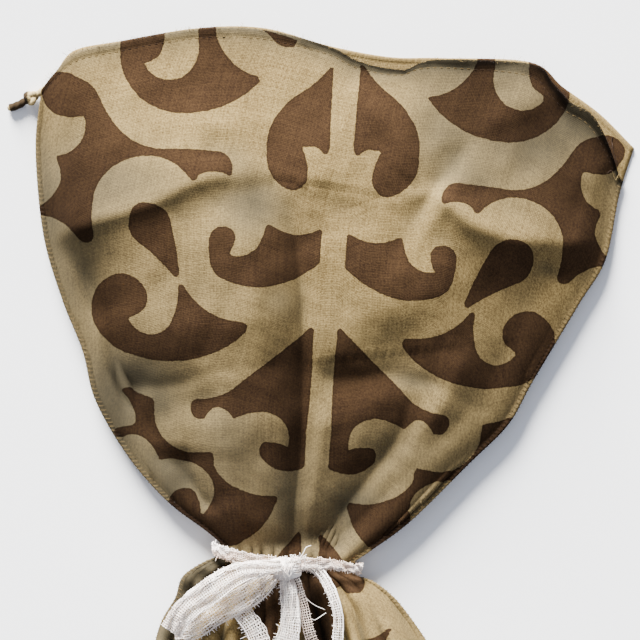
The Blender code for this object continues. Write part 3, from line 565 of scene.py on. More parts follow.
def size(name):
    """One of the user's sizes in millimetres, to a tenth of a micrometre."""
    return round(getattr(bpy.context.scene.bag_sizes, name) / MM, 4)


class BagColours(bpy.types.PropertyGroup):
    """Colours that a user may change."""

    straw: bpy.props.FloatVectorProperty(
        name="Burlap, light threads", description="Bleached jute yarn",
        subtype="COLOR", size=4, min=0, max=1, default=linear("#877248"))
    jute: bpy.props.FloatVectorProperty(
        name="Burlap, dark threads", description="Raw jute yarn",
        subtype="COLOR", size=4, min=0, max=1, default=linear("#554428"))
    ink: bpy.props.FloatVectorProperty(
        name="Print", description="Brown pigment print",
        subtype="COLOR", size=4, min=0, max=1, default=linear("#3b2b1b"))
    ink_dark: bpy.props.FloatVectorProperty(
        name="Print, dark threads", description="Where the pigment took fully",
        subtype="COLOR", size=4, min=0, max=1, default=linear("#261a11"))
    # The grey mixed into the bare cloth where shade is painted, and in the hem's dark rim.
    painted_shade: bpy.props.FloatVectorProperty(
        name="Dust", description="Grey dust in the hem, the hollows and the worn lower part",
        subtype="COLOR", size=4, min=0, max=1, default=linear("#5c5748"))
    gauze: bpy.props.FloatVectorProperty(
        name="Gauze", description="Off-white cotton gauze",
        subtype="COLOR", size=4, min=0, max=1, default=linear("#fdf4ea"))
    # Pinkish beige for dirty patches of the gauze, and as painted shade on part of the right loop.
    gauze_soiled_and_shaded: bpy.props.FloatVectorProperty(
        name="Gauze, soiled", description="Pinkish beige where it was handled",
        subtype="COLOR", size=4, min=0, max=1, default=linear("#dcc3b0"))
    cord: bpy.props.FloatVectorProperty(
        name="Drawcord", description="Cream cotton cord",
        subtype="COLOR", size=4, min=0, max=1, default=linear("#b29c6c"))
    cord_end: bpy.props.FloatVectorProperty(
        name="Drawcord end", description="The cord's stained end",
        subtype="COLOR", size=4, min=0, max=1, default=linear("#2a1f10"))
    floor: bpy.props.FloatVectorProperty(
        name="Floor", description="Pale floor",
        subtype="COLOR", size=4, min=0, max=1, default=linear("#fbfaf8"))
    sky: bpy.props.FloatVectorProperty(
        name="Fill light", description="Cool light from all round",
        subtype="COLOR", size=4, min=0, max=1, default=linear("#d3dbee"))


class BagLights(bpy.types.PropertyGroup):
    """The studio's light."""

    key: bpy.props.FloatProperty(
        name="Key light", description="Strength of the light from the upper left", default=36.5, min=0)
    key_softness: bpy.props.FloatProperty(
        name="Softness", description="How wide the key light looks from the bag",
        default=math.radians(30), min=0, max=math.pi, subtype="ANGLE")
    fill: bpy.props.FloatProperty(
        name="Fill", description="Strength of the light from all round", default=0.86, min=0)


def add_node(tree, kind, inputs=None, **settings):
    """Adds a shader node, sets its properties, and gives its sockets values or links.

    A node given as an input stands for its first output.
    """
    made = tree.nodes.new("ShaderNode" + kind)
    for name, value in settings.items():
        setattr(made, name, value)
    for key, value in (inputs or {}).items():
        if isinstance(value, bpy.types.Node):
            value = value.outputs[0]
        if isinstance(value, bpy.types.NodeSocket):
            tree.links.new(value, made.inputs[key])
        else:
            made.inputs[key].default_value = value
    return made


def new_material(name, roughness, sheen, specular=0.12):
    """An empty material with a cloth-like shader. Returns it with its node tree and shader."""
    made = bpy.data.materials.new(name)
    made.use_nodes = True
    shader = made.node_tree.nodes["Principled BSDF"]
    shader.inputs["Roughness"].default_value = roughness
    shader.inputs["Metallic"].default_value = 0.0
    shader.inputs["Specular IOR Level"].default_value = specular
    shader.inputs["Sheen Weight"].default_value = sheen
    shader.inputs["Sheen Roughness"].default_value = 0.6
    return made, made.node_tree, shader


def woven_height(tree, cloth, pitch):
    """Nodes for a plain weave: how high the upper thread stands at each place, 0 in the pinholes.

    Along each axis a thread is the arch of a sine. The product of both sines changes sign from one
    crossing to the next, and says which thread lies on top. Returns the height and that product.
    """
    step = math.pi / (pitch * MM)
    scaled = add_node(tree, "VectorMath", {0: cloth, 1: (step, step, 0.0)}, operation="MULTIPLY")
    axes = add_node(tree, "SeparateXYZ", {0: scaled})
    sines = [add_node(tree, "Math", {0: axes.outputs[k]}, operation="SINE") for k in (0, 1)]
    over = add_node(tree, "Math", {0: sines[0], 1: sines[1]}, operation="MULTIPLY")
    threads = []
    for sine, side in zip(sines, (0.5, -0.5)):
        arch = add_node(tree, "Math", {0: sine}, operation="ABSOLUTE")
        rise = add_node(tree, "Math", {0: over, 1: side, 2: 0.5}, operation="MULTIPLY_ADD")
        threads.append(add_node(tree, "Math", {0: arch, 1: rise}, operation="MULTIPLY"))
    return add_node(tree, "Math", {0: threads[0], 1: threads[1]}, operation="MAXIMUM"), over


def burlap_material(colours, pitch):
    """Plain-woven jute burlap with a matt brown pigment print.

    Jute yarn is uneven, so threads differ in colour and swell into slubs, and the pinholes between
    them are darkened as painted shade. The print stains the upper threads and stops at a thread, so
    its edge is ragged. The yarns of fine burlap lie 0.85 mm apart, under two pixels from a step away,
    and read as fine speckle. Their fibres are too fine to show, so their flecks are drawn about 1 mm
    wide. A stored darkening greys the bare cloth: painted shade in creases, hollows and patches, and a
    dark rim along the hem.
    """
    made, tree, shader = new_material("printed_jute_burlap", 1.0, 0.0, specular=0.03)
    place = add_node(tree, "UVMap", uv_map="cloth")

    # The yarns wander by up to half a millimetre, so that no row of them is ruler-straight.
    drift = add_node(tree, "TexNoise", {"Vector": place, "Scale": 90.0, "Detail": 2.0})
    drift = add_node(
        tree, "VectorMath", {0: drift.outputs["Color"], 1: (0.5, 0.5, 0.5)}, operation="SUBTRACT")
    drift = add_node(tree, "VectorMath", {0: drift, "Scale": 0.9 * MM}, operation="SCALE")
    cloth = add_node(tree, "VectorMath", {0: place, 1: drift})
    height, over = woven_height(tree, cloth, pitch)

    # Each yarn's own tone: noise drawn out along it, warp and weft apart, with the flecks of its
    # fibres and soft clouds over the whole cloth.
    across, along = 1 / (pitch * MM), 1 / (40.0 * MM)
    tones = []
    for scale in ((across, along, 0.0), (along, across, 0.0)):
        drawn = add_node(tree, "VectorMath", {0: cloth, 1: scale}, operation="MULTIPLY")
        tones.append(add_node(tree, "TexNoise", {"Vector": drawn, "Scale": 0.9, "Detail": 2.0}))
    upper = add_node(tree, "Math", {0: over, 1: 0.0}, operation="GREATER_THAN")
    tone = add_node(tree, "Mix", {0: upper, 2: tones[1], 3: tones[0]})
    spot = add_node(tree, "TexCoord").outputs["Object"]
    fleck = add_node(
        tree, "TexNoise", {"Vector": spot, "Scale": 1000.0, "Detail": 2.0, "Roughness": 0.7})
    cloud = add_node(tree, "TexNoise", {"Vector": spot, "Scale": 26.0, "Detail": 4.0})
    tone = add_node(tree, "Math", {0: fleck, 1: 1.25, 2: tone}, operation="MULTIPLY_ADD")
    tone = add_node(tree, "Math", {0: cloud, 1: 0.38, 2: tone}, operation="MULTIPLY_ADD")
    tone = add_node(tree, "MapRange", {0: tone, 1: 0.99, 2: 1.62})
    bare = add_node(tree, "Mix", {0: tone, 6: colours.jute[:], 7: colours.straw[:]}, data_type="RGBA")
    inked = add_node(
        tree, "Mix", {0: tone, 6: colours.ink_dark[:], 7: colours.ink[:]}, data_type="RGBA")

    # The print's edge runs along threads, so its depth wobbles by half a thread. The pigment
    # gathered along that edge and is a little darker there.
    depth = add_node(tree, "Attribute", attribute_name="print_depth").outputs["Fac"]
    ragged = add_node(tree, "TexNoise", {"Vector": spot, "Scale": 420.0, "Detail": 2.0})
    depth = add_node(tree, "Math", {0: ragged, 1: 0.9, 2: depth}, operation="MULTIPLY_ADD")
    ink = add_node(tree, "MapRange", {0: depth, 1: 0.3, 2: 0.6})
    rim = add_node(tree, "MapRange", {0: depth, 1: 0.5, 2: 1.7, 3: 0.72, 4: 1.0})
    inked = add_node(tree, "VectorMath", {0: inked.outputs[2], "Scale": rim}, operation="SCALE")

    # Painted shade greys the bare cloth, under the print's colour, and so does the hem's dark rim.
    soil_and_painted_shade = add_node(tree, "Attribute", attribute_name="soil_and_painted_shade").outputs["Fac"]
    grey = add_node(tree, "MapRange", {0: soil_and_painted_shade, 1: 0.0, 2: 0.8, 3: 0.0, 4: 0.7})
    bare = add_node(tree, "Mix", {0: grey, 6: bare.outputs[2], 7: colours.painted_shade[:]}, data_type="RGBA")
    colour = add_node(tree, "Mix", {0: ink, 6: bare.outputs[2], 7: inked}, data_type="RGBA")

    # The pinholes get painted shade, and so do creases, hollows and patches; the hem's rim is darkened too.
    pinhole_shade = add_node(tree, "MapRange", {0: height, 1: 0.0, 2: 0.45, 3: 0.74, 4: 1.0})
    undarkened = add_node(tree, "Math", {0: soil_and_painted_shade, 1: -0.8, 2: 1.0}, operation="MULTIPLY_ADD")
    light = add_node(tree, "Math", {0: pinhole_shade, 1: undarkened}, operation="MULTIPLY")
    shaded = add_node(tree, "VectorMath", {0: colour.outputs[2], "Scale": light}, operation="SCALE")
    tree.links.new(shaded.outputs[0], shader.inputs["Base Color"])

    relief = add_node(tree, "Math", {0: fleck, 1: 0.7, 2: height}, operation="MULTIPLY_ADD")
    bump = add_node(tree, "Bump", {"Strength": 0.28, "Distance": 0.3 * MM, "Height": relief})
    tree.links.new(bump.outputs[0], shader.inputs["Normal"])
    return made


def gauze_material(colours):
    """Loosely spun cotton gauze thread: matt, slightly fuzzy, soiled pink-beige in places, and the same
    pink-beige as painted shade where the right loop crosses the valley below the knot.
    """
    made, tree, shader = new_material("cotton_gauze_thread", 0.85, 0.25)
    place = add_node(tree, "TexCoord").outputs["Object"]
    wear = add_node(tree, "TexNoise", {"Vector": place, "Scale": 70.0, "Detail": 3.0})
    fibre = add_node(tree, "TexNoise", {"Vector": place, "Scale": 2400.0, "Detail": 2.0})
    dull = add_node(tree, "Attribute", attribute_name="soil_and_painted_shade").outputs["Fac"]
    share = add_node(tree, "MapRange", {0: wear, 1: 0.5, 2: 0.75, 4: 0.3})
    share = add_node(tree, "Math", {0: share, 1: dull}, operation="ADD", use_clamp=True)
    colour = add_node(
        tree, "Mix", {0: share, 6: colours.gauze[:], 7: colours.gauze_soiled_and_shaded[:]}, data_type="RGBA")
    tree.links.new(colour.outputs[2], shader.inputs["Base Color"])
    bump = add_node(tree, "Bump", {"Strength": 0.4, "Distance": 0.1 * MM, "Height": fibre})
    tree.links.new(bump.outputs[0], shader.inputs["Normal"])
    return made


def yarn_material(name, light, dark, scale, ink=None):
    """Spun yarn or cord: twisted fibres in uneven light and dark tones, matt, stained where printed over.
    """
    made, tree, shader = new_material(name, 0.95, 0.02)
    place = add_node(tree, "TexCoord").outputs["Object"]
    fibre = add_node(tree, "TexNoise", {"Vector": place, "Scale": scale, "Detail": 4.0})
    stain = add_node(tree, "Attribute", attribute_name="soil_and_painted_shade").outputs["Fac"]
    share = add_node(tree, "MapRange", {0: fibre, 1: 0.35, 2: 0.7, 4: 0.45})
    share = add_node(tree, "Math", {0: share, 1: stain}, operation="ADD", use_clamp=True)
    colour = add_node(tree, "Mix", {0: share, 6: light[:], 7: dark[:]}, data_type="RGBA")
    if ink:
        inked = add_node(tree, "Attribute", attribute_name="print_depth").outputs["Fac"]
        inked = add_node(tree, "MapRange", {0: inked, 1: -0.4, 2: 0.4})
        colour = add_node(tree, "Mix", {0: inked, 6: colour.outputs[2], 7: ink[:]}, data_type="RGBA")
    tree.links.new(colour.outputs[2], shader.inputs["Base Color"])
    bump = add_node(tree, "Bump", {"Strength": 0.5, "Distance": 0.15 * MM, "Height": fibre})
    tree.links.new(bump.outputs[0], shader.inputs["Normal"])
    return made


def floor_material(colours):
    """Smooth matt paper: nearly even, with a trace of grain."""
    made, tree, shader = new_material("matt_studio_paper", 0.95, 0.0)
    place = add_node(tree, "TexCoord").outputs["Object"]
    grain = add_node(tree, "TexNoise", {"Vector": place, "Scale": 300.0, "Detail": 2.0})
    tone = add_node(tree, "MapRange", {0: grain, 3: 0.985, 4: 1.0})
    shade = add_node(tree, "VectorMath", {0: colours.floor[:3], "Scale": tone}, operation="SCALE")
    tree.links.new(shade.outputs[0], shader.inputs["Base Color"])
    return made


def finish_of(name, scene):
    """A finish by its material's name, made when first asked for and then shared by the pieces."""
    colours = scene.bag_colours
    makers = {
        "printed_jute_burlap": lambda: burlap_material(colours, size("yarn_pitch")),
        "jute_sewing_yarn": lambda: yarn_material(
            "jute_sewing_yarn", colours.straw, colours.jute, 1500.0, ink=colours.ink_dark),
        "cotton_gauze_thread": lambda: gauze_material(colours),
        "twisted_cotton_cord": lambda: yarn_material(
            "twisted_cotton_cord", colours.cord, colours.cord_end, 900.0)}
    return bpy.data.materials.get(name) or makers[name]()


def add_mesh(name, points, faces, material):
    """A smooth mesh object from points in millimetres and lists of corners, with its finish's slot."""
    mesh = bpy.data.meshes.new(name)
    mesh.from_pydata(metres(points).reshape(-1, 3).tolist(), [], faces)
    mesh.materials.append(material)
    mesh.shade_smooth()
    made = bpy.data.objects.new(name, mesh)
    bpy.context.scene.collection.objects.link(made)
    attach(made, "root")
    return made


def add_attribute(made, name, values):
    """Stores one number for each vertex, for a material to read."""
    layer = made.data.attributes.new(name, "FLOAT", "POINT")
    layer.data.foreach_set("value", np.asarray(values, dtype=np.float32).ravel())


def add_uv(made, name, uv):
    """Stores a flat place for each vertex, in metres, as a UV map."""
    corners = np.zeros(len(made.data.loops), dtype=np.int32)
    made.data.loops.foreach_get("vertex_index", corners)
    layer = made.data.uv_layers.new(name=name)
    layer.data.foreach_set("uv", metres(uv).reshape(-1, 2)[corners].astype(np.float32).ravel())


def unit(vectors):
    """Vectors scaled to length 1."""
    return vectors / np.maximum(np.linalg.norm(vectors, axis=-1, keepdims=True), 1e-9)


def lengths(line):
    """How far along a line of points each of them lies."""
    return np.concatenate([[0.0], np.cumsum(np.linalg.norm(np.diff(line, axis=0), axis=1))])


def read_line(line, measure, wanted):
    """Points between a line's points, where the measure taken at each of them has the wanted values."""
    return np.stack([np.interp(wanted, measure, line[:, k]) for k in range(line.shape[1])], axis=-1)


def read_rows(place, rows):
    """A value read from rows of (place, value), on straight lines between them."""
    return np.interp(place, *np.array(rows).T)


def smooth_path(rows, shares):
    """Points of a smooth curve through the rows, at the given shares of its length in x and y.

    Between two rows it is the Catmull-Rom cubic, whose slope at each row is half the way from the
    row before to the row after.
    """
    rows = np.asarray(rows, dtype=float)
    padded = np.vstack([2 * rows[0] - rows[1], rows, 2 * rows[-1] - rows[-2]])
    steps = np.linspace(0.0, 1.0, 16, endpoint=False)[:, None]
    runs = []
    for i in range(len(rows) - 1):
        a, b, c, d = padded[i:i + 4]
        runs.append(0.5 * (2 * b + (c - a) * steps + (2 * a - 5 * b + 4 * c - d) * steps ** 2
                           + (3 * b - a - 3 * c + d) * steps ** 3))
    fine = np.vstack(runs + [rows[-1:]])
    length = lengths(fine[:, :2])
    return read_line(fine, length, np.asarray(shares) * length[-1])


def profile(rows, place):
    """A height read from rows of (place, height), softened between them."""
    shifts = PROFILE_SOFTENING * np.arange(-2, 3)
    return sum(read_rows(place + shift, rows) for shift in shifts) / len(shifts)


def waves(xy, length, seed):
    """Soft random relief, mostly between -1 and 1: plane waves of about one length, turned every way."""
    draw = np.random.default_rng(seed)
    turn = draw.uniform(0, 2 * math.pi, CRUMPLE_WAVES)
    stretch = draw.uniform(0.75, 1.35, CRUMPLE_WAVES) * 2 * math.pi / length
    start = draw.uniform(0, 2 * math.pi, CRUMPLE_WAVES)
    relief = np.zeros(xy.shape[:-1])
    for angle, pace, phase in zip(turn, stretch, start):
        relief += np.sin(pace * (xy[..., 0] * math.cos(angle) + xy[..., 1] * math.sin(angle)) + phase)
    return relief / math.sqrt(CRUMPLE_WAVES)


def side_point(body, flare, start, along):
    """One side's outline at the shares along the panel, from the mouth to the bottom."""
    upper = smooth_path(body, start + (1 - start) * np.clip(along / TIE, 0, 1))
    lower = smooth_path(flare, np.clip((along - TIE) / (1 - TIE), 0, 1))
    return np.where((along <= TIE)[:, None], upper, lower)


def plan(across, along, mouth, right_start):
    """X and Y of a panel's grid: its sides and ends joined, with rows arched over the tie."""
    left = side_point(LEFT_BODY, LEFT_FLARE, 0.0, along)[:, None, :]
    right = side_point(RIGHT_BODY, RIGHT_FLARE, right_start, along)[:, None, :]
    s = across[None, :, None]
    chord = left * (1 - s) + right * s
    arch = np.zeros_like(chord)
    arch[..., 1] = ARCH * 4 * s[..., 0] * (1 - s[..., 0])
    ends = chord[0], chord[-1]
    top = smooth_path(mouth, across)
    top[0], top[-1] = ends[0][0], ends[0][-1]
    rest = (top - ends[0])[None] - arch[:1]
    low = smooth_path(BOTTOM, across) - ends[1]
    body = np.clip(along / TIE, 0, 1)[:, None, None]
    flare = np.clip((along - TIE) / (1 - TIE), 0, 1)[:, None, None]
    return chord + arch * (1 - body ** ARCH_FADE) + rest * (1 - body) ** MOUTH_FADE + low[None] * flare


def edge_distance(across, xy):
    """Each point's distance from the nearer side seam, along its row."""
    width = np.linalg.norm(np.diff(xy, axis=1), axis=2).sum(axis=1)[:, None]
    return np.minimum(across, 1 - across)[None] * width, width


def fold_relief(xy):
    """Heights that the folds add: a soft crest along each path, dying out to its sides and ends."""
    relief = np.zeros(xy.shape[:2])
    for _name, height, left_reach, right_reach, grows, dies, path in FOLDS:
        points = smooth_path(path, np.linspace(0, 1, FOLD_STATIONS))
        best = np.full(xy.shape[:2], np.inf)
        side, place = np.zeros_like(best), np.zeros_like(best)
        for k, (start, run) in enumerate(zip(points[:-1], np.diff(points, axis=0))):
            off = xy - start
            share = np.clip(off @ run / (run @ run), 0, 1)
            distance = np.linalg.norm(off - share[..., None] * run, axis=-1)
            nearer = distance < best
            best = np.where(nearer, distance, best)
            side = np.where(nearer, run[0] * off[..., 1] - run[1] * off[..., 0], side)
            place = np.where(nearer, (k + share) / (FOLD_STATIONS - 1), place)
        reach = np.where(side > 0, left_reach, right_reach)
        crest = np.exp(-(np.sqrt(best ** 2 + CREST_RADIUS ** 2) - CREST_RADIUS) / reach)
        ends = np.clip(np.minimum(place / grows, (1 - place) / dies), 0, 1)
        relief += height * crest * (FOLD_END + (1 - FOLD_END) * ends * ends * (3 - 2 * ends))
    for _name, height, x, y, half_x, half_y, turn in DENTS:
        angle = math.radians(turn)
        off_x, off_y = xy[..., 0] - x, xy[..., 1] - y
        along = (off_x * math.cos(angle) + off_y * math.sin(angle)) / half_x
        over = (off_y * math.cos(angle) - off_x * math.sin(angle)) / half_y
        relief += height * np.exp(-along ** 2 - over ** 2)
    return relief


def bumps(rows, across):
    """Soft bumps across the panel: share, height and half width of each."""
    return sum(height * np.exp(-((across - place) / half) ** 2) for place, height, half in rows)


def over_tie(xy):
    """Distance in Y from the straight line of the tie, towards the mouth."""
    (x0, y0), (x1, y1) = TIE_LINE
    return xy[..., 1] - y0 - (xy[..., 0] - x0) * (y1 - y0) / (x1 - x0)


def seam_height(xy):
    """Height of the plane in which the two panels are sewn together."""
    return SOLID_CLOTH + SEWN_GAP / 2 + profile(SEAM_RISE, over_tie(xy))


def shared_waves(across, along):
    """Ripples of the closed bottom, which both panels follow."""
    flare = np.clip((along - TIE) / (1 - TIE), 0, 1)[:, None]
    return bumps(BOTTOM_WAVES, across)[None] * flare ** 2


def gathers(across, along, heights, count=GATHERS):
    """Uneven ripples side by side, from 0 to about twice the height, that wander as they run down.

    Sines of other lengths shift the ripples' places, turn their phase and change their heights.
    """
    s = across[None] + 0.014 * np.sin(9 * along)[:, None] + 0.014 * np.sin(17 * across)[None]
    s = s + 0.006 * np.sin(41 * across + 2.0)[None] * np.clip(1.5 * along, 0, 1)[:, None]
    phase = 2 * math.pi * count * s + 1.4 * np.sin(5.1 * along)[:, None]
    ends = np.clip(np.minimum(across, 1 - across) / GATHER_ENDS, 0, 1)[None]
    uneven = 0.78 + 0.22 * np.sin(29 * across + 1.0)[None] * np.cos(6 * along)[:, None]
    uneven = uneven + 0.12 * np.sin(53 * across)[None]
    return read_rows(along, heights)[:, None] * (1 + np.sin(phase)) * uneven * ends


def back_underside(across, along, xy):
    """The back's lower face: flat on the surface, lifted at its side seams and under the tie."""
    distance, width = edge_distance(across, xy)
    lift = NECK_LIFT * np.exp(-(over_tie(xy) / NECK_HALF_LENGTH) ** 2)
    span = np.minimum(BACK_TURN, BACK_TURN_SHARE * width)
    edge = np.clip(1 - (distance - SEAM_WIDTH) / span, 0, 1) ** 2
    rise = seam_height(xy) - SEWN_GAP / 2 - SOLID_CLOTH
    ripples = gathers(across, along, BACK_GATHERS, BACK_COUNT)
    ripples += gathers(across, along, FRONT_GATHERS) * (along > TIE)[:, None]
    return lift + np.maximum(rise - lift, 0) * edge + shared_waves(across, along) + ripples


def front_inside(across, along, xy):
    """The front's inner face: crowned between the seams, creased, crumpled and gathered at the tie.

    The crown nears its height over each seam as one less an exponential of the distance. Folds,
    pleats and crumples are added and die out at the edges, and the panels never touch.
    """
    distance, width = edge_distance(across, xy)
    crown = profile(FRONT_CROWN, along * FLAT_LENGTH)[:, None]
    puff = np.interp(across, PUFF_SIDES, PUFF_REACH)[None] * width
    filled = 1 - np.exp(-np.maximum(distance - SEAM_WIDTH, 0) / puff)
    from_bottom = (1 - along)[:, None] * FLAT_LENGTH
    closed = 1 - np.exp(-np.maximum(from_bottom - SEAM_WIDTH, 0) / BOTTOM_REACH)
    free = np.clip((distance - SEAM_WIDTH) / np.minimum(FOLD_EDGE, FOLD_EDGE_SHARE * width), 0, 1)
    free = free * free * (3 - 2 * free)
    free = free * np.interp(from_bottom, FOLD_BOTTOM, (0.0, 1.0))
    from_tie = (along - TIE) * FLAT_LENGTH
    below = from_tie - size("band_width") / 2
    gathered = np.exp(-np.abs(below) / np.where(below < 0, PLEAT_REACH_UP, PLEAT_REACH_DOWN))
    pleats = bumps(NECK_PLEATS, across)[None] * gathered[:, None]
    crumple = sum(height * waves(xy, length, seed) for seed, (length, height) in enumerate(CRUMPLES))
    corner = np.linalg.norm(xy - np.array(LEFT_BODY[0]), axis=-1)
    room = CORD_ROOM * np.exp(-(corner / CORD_ROOM_REACH) ** 2)
    ripples = gathers(across, along, FRONT_GATHERS)
    height = crown * filled * closed + (fold_relief(xy) - pleats + crumple) * free + room + ripples
    least = shared_waves(across, along) + seam_height(xy) + SEWN_GAP / 2
    floor_gap = back_underside(across, along, xy) + SOLID_CLOTH + SEWN_GAP
    sewn = distance < SEAM_WIDTH + SEWN_GAP
    return np.maximum(least + height, np.where(sewn, least, floor_gap + LEAST_ROOM))


def grid_normals(points):
    """Unit normals of a grid whose rows run down the page and whose columns run right."""
    return unit(np.cross(np.gradient(points, axis=0), np.gradient(points, axis=1)))


def grid_faces(rows, columns, start=0):
    """Corners of the squares between neighbours on a grid, facing the reader."""
    number = start + np.arange(rows * columns).reshape(rows, columns)
    return np.stack([number[:-1, :-1], number[1:, :-1], number[1:, 1:], number[:-1, 1:]], -1).reshape(-1, 4)


def closed_sheet(upper, lower):
    """Points and faces of a sheet from its upper and lower faces' grids, closed all round its rim."""
    rows, columns = upper.shape[:2]
    count = rows * columns
    number = np.arange(count).reshape(rows, columns)
    rim = np.concatenate([number[0, :-1], number[:-1, -1], number[-1, :0:-1], number[:0:-1, 0]])
    ahead = np.roll(rim, -1)
    faces = np.concatenate([
        grid_faces(rows, columns),
        grid_faces(rows, columns, count)[:, ::-1],
        np.stack([rim, ahead, ahead + count, rim + count], -1)])
    return np.concatenate([upper.reshape(-1, 3), lower.reshape(-1, 3)]), faces.tolist()


def outline(rows):
    """A motif's closed outline as points: between corners, a parabola that stands in for the arc."""
    rows = np.array(rows, dtype=float)
    run = np.roll(rows[:, :2], -1, axis=0) - rows[:, :2]
    outward = np.stack([-run[:, 1], run[:, 0]], axis=-1) * rows[:, 2:]
    step = np.arange(ARC_STEPS)[None, :, None] / ARC_STEPS
    points = rows[:, None, :2] + run[:, None] * step + outward[:, None] * 4 * step * (1 - step)
    return points.reshape(-1, 2)


def print_depth(xy):
    """How deep each place lies inside the printed ornament, in mm, negative on bare cloth.

    It is the distance to the nearest straight piece of an outline, positive where a line to the
    left crosses the outline an odd number of times.
    """
    flat = xy.reshape(-1, 2)
    depth = np.full(len(flat), -PRINT_REACH)
    for name, x, y, turn, scale, mirrored in PRINT:
        angle = math.radians(turn)
        rotation = np.array([[math.cos(angle), -math.sin(angle)], [math.sin(angle), math.cos(angle)]])
        local = (flat - (x, y)) @ rotation / scale * ((-1.0, 1.0) if mirrored else (1.0, 1.0))
        corners = outline(MOTIFS[name])
        low, high = corners.min(0) - PRINT_REACH, corners.max(0) + PRINT_REACH
        near = ((local > low) & (local < high)).all(1)
        points = local[near]
        away = np.full(len(points), np.inf)
        inside = np.zeros(len(points), dtype=bool)
        for start, end in zip(corners, np.roll(corners, -1, axis=0)):
            run = end - start
            off = points - start
            share = np.clip(off @ run / (run @ run), 0, 1)
            away = np.minimum(away, np.hypot(*(off - share[:, None] * run).T))
            level = (start[1] > points[:, 1]) != (end[1] > points[:, 1])
            upward = np.sign(run[1])
            inside ^= level & (off[:, 0] * run[1] * upward < off[:, 1] * run[0] * upward)
        depth[near] = np.maximum(depth[near], scale * np.where(inside, away, -away))
    return depth.reshape(xy.shape[:-1])


def mouth_rows(count):
    """Shares along the panel: close together over the rolled hem, then even down to the bottom."""
    hem = np.concatenate([[0.0, 0.12, 0.35, 0.65], np.arange(1.0, HEM_WIDTH + 2.0, 0.5)]) / FLAT_LENGTH
    rest = np.linspace(hem[-1], 1.0, count)
    return np.concatenate([hem, rest[1:]])


def hem_thickness(distance, mouth_place, groove_share=1.0):
    """Thickness of the cloth at a distance from the mouth: a rolled tube, a groove, then one layer.

    The tube is a half ellipse that puckers along the mouth, and the cut edge is rounded.
    """
    tube = np.sqrt(np.clip(1 - ((distance - HEM_WIDTH / 2) / (HEM_WIDTH / 2)) ** 2, 0, 1))
    pucker = 0.85 + 0.15 * np.sin(mouth_place / 0.9 + 2.2 * np.sin(mouth_place / 7.0))
    place, half, depth = HEM_GROOVE
    groove = groove_share * depth * np.exp(-((distance - place) / half) ** 2)
    edge = np.sqrt(np.clip(1 - (1 - np.clip(distance / EDGE_ROUND, 0, 1)) ** 2, 0.002, 1))
    burlap = size("burlap")
    return (burlap + (size("hem") - burlap) * tube * pucker - groove) * edge


def cloth_place(points):
    """Each point's place on the cloth: lengths along its row from the middle and down its column."""
    steps = np.linalg.norm(np.diff(points, axis=1), axis=2)
    u = np.concatenate([np.zeros((len(points), 1)), np.cumsum(steps, axis=1)], axis=1)
    u -= u[:, u.shape[1] // 2][:, None]
    steps = np.linalg.norm(np.diff(points, axis=0), axis=2)
    v = np.concatenate([np.zeros((1, points.shape[1])), np.cumsum(steps, axis=0)], axis=0)
    return np.stack([u, v], axis=-1)


def blurred(heights, reach):
    """A grid of heights averaged over `reach` neighbours each way, rows and then columns."""
    for axis in (0, 1):
        padded = np.concatenate([
            np.repeat(heights.take([0], axis), reach + 1, axis), heights,
            np.repeat(heights.take([-1], axis), reach, axis)], axis)
        total = np.cumsum(padded, axis)
        count = heights.shape[axis]
        window = 2 * reach + 1
        upper = total.take(np.arange(window, window + count), axis)
        heights = (upper - total.take(np.arange(count), axis)) / window
    return heights


def add_panel(name, upper, lower, xy, soil_and_painted_shade, material):
    """A closed panel with its print, its darkening and its place on the cloth stored on it."""
    points, faces = closed_sheet(upper, lower)
    made = add_mesh(name, points, faces, material)
    add_attribute(made, "print_depth", np.tile(print_depth(xy).ravel(), 2))
    # The front's darkening is mostly painted shade; elsewhere it is dirt and stain.
    add_attribute(made, "soil_and_painted_shade", np.tile(soil_and_painted_shade.ravel(), 2))
    add_uv(made, "cloth", np.tile(cloth_place(upper).reshape(-1, 2), (2, 1)))
    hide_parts(name.replace("_cloth", ""))


def front_panel():
    """The front's grids: shares across and along, x and y, inner face and outer face."""
    rows, columns = FRONT_GRID
    along = mouth_rows(rows)
    across = np.linspace(0, 1, columns)
    xy = plan(across, along, FRONT_MOUTH, FRONT_RIGHT_START)
    lower = np.dstack([xy, front_inside(across, along, xy)])
    thick = hem_thickness((along * FLAT_LENGTH)[:, None], lengths(xy[0])[None, :])
    return across, along, xy, lower, lower + grid_normals(lower) * thick[..., None]


def back_panel():
    """The back's grids: x and y, lower face and upper face."""
    rows, columns = BACK_GRID
    along = mouth_rows(rows)
    across = np.linspace(0, 1, columns)
    xy = plan(across, along, BACK_MOUTH, 0.0)
    lower = np.dstack([xy, back_underside(across, along, xy)])
    thick = hem_thickness((along * FLAT_LENGTH)[:, None], lengths(xy[0])[None, :], groove_share=0.0)
    return xy, lower, lower + np.array([0.0, 0.0, 1.0]) * thick[..., None]


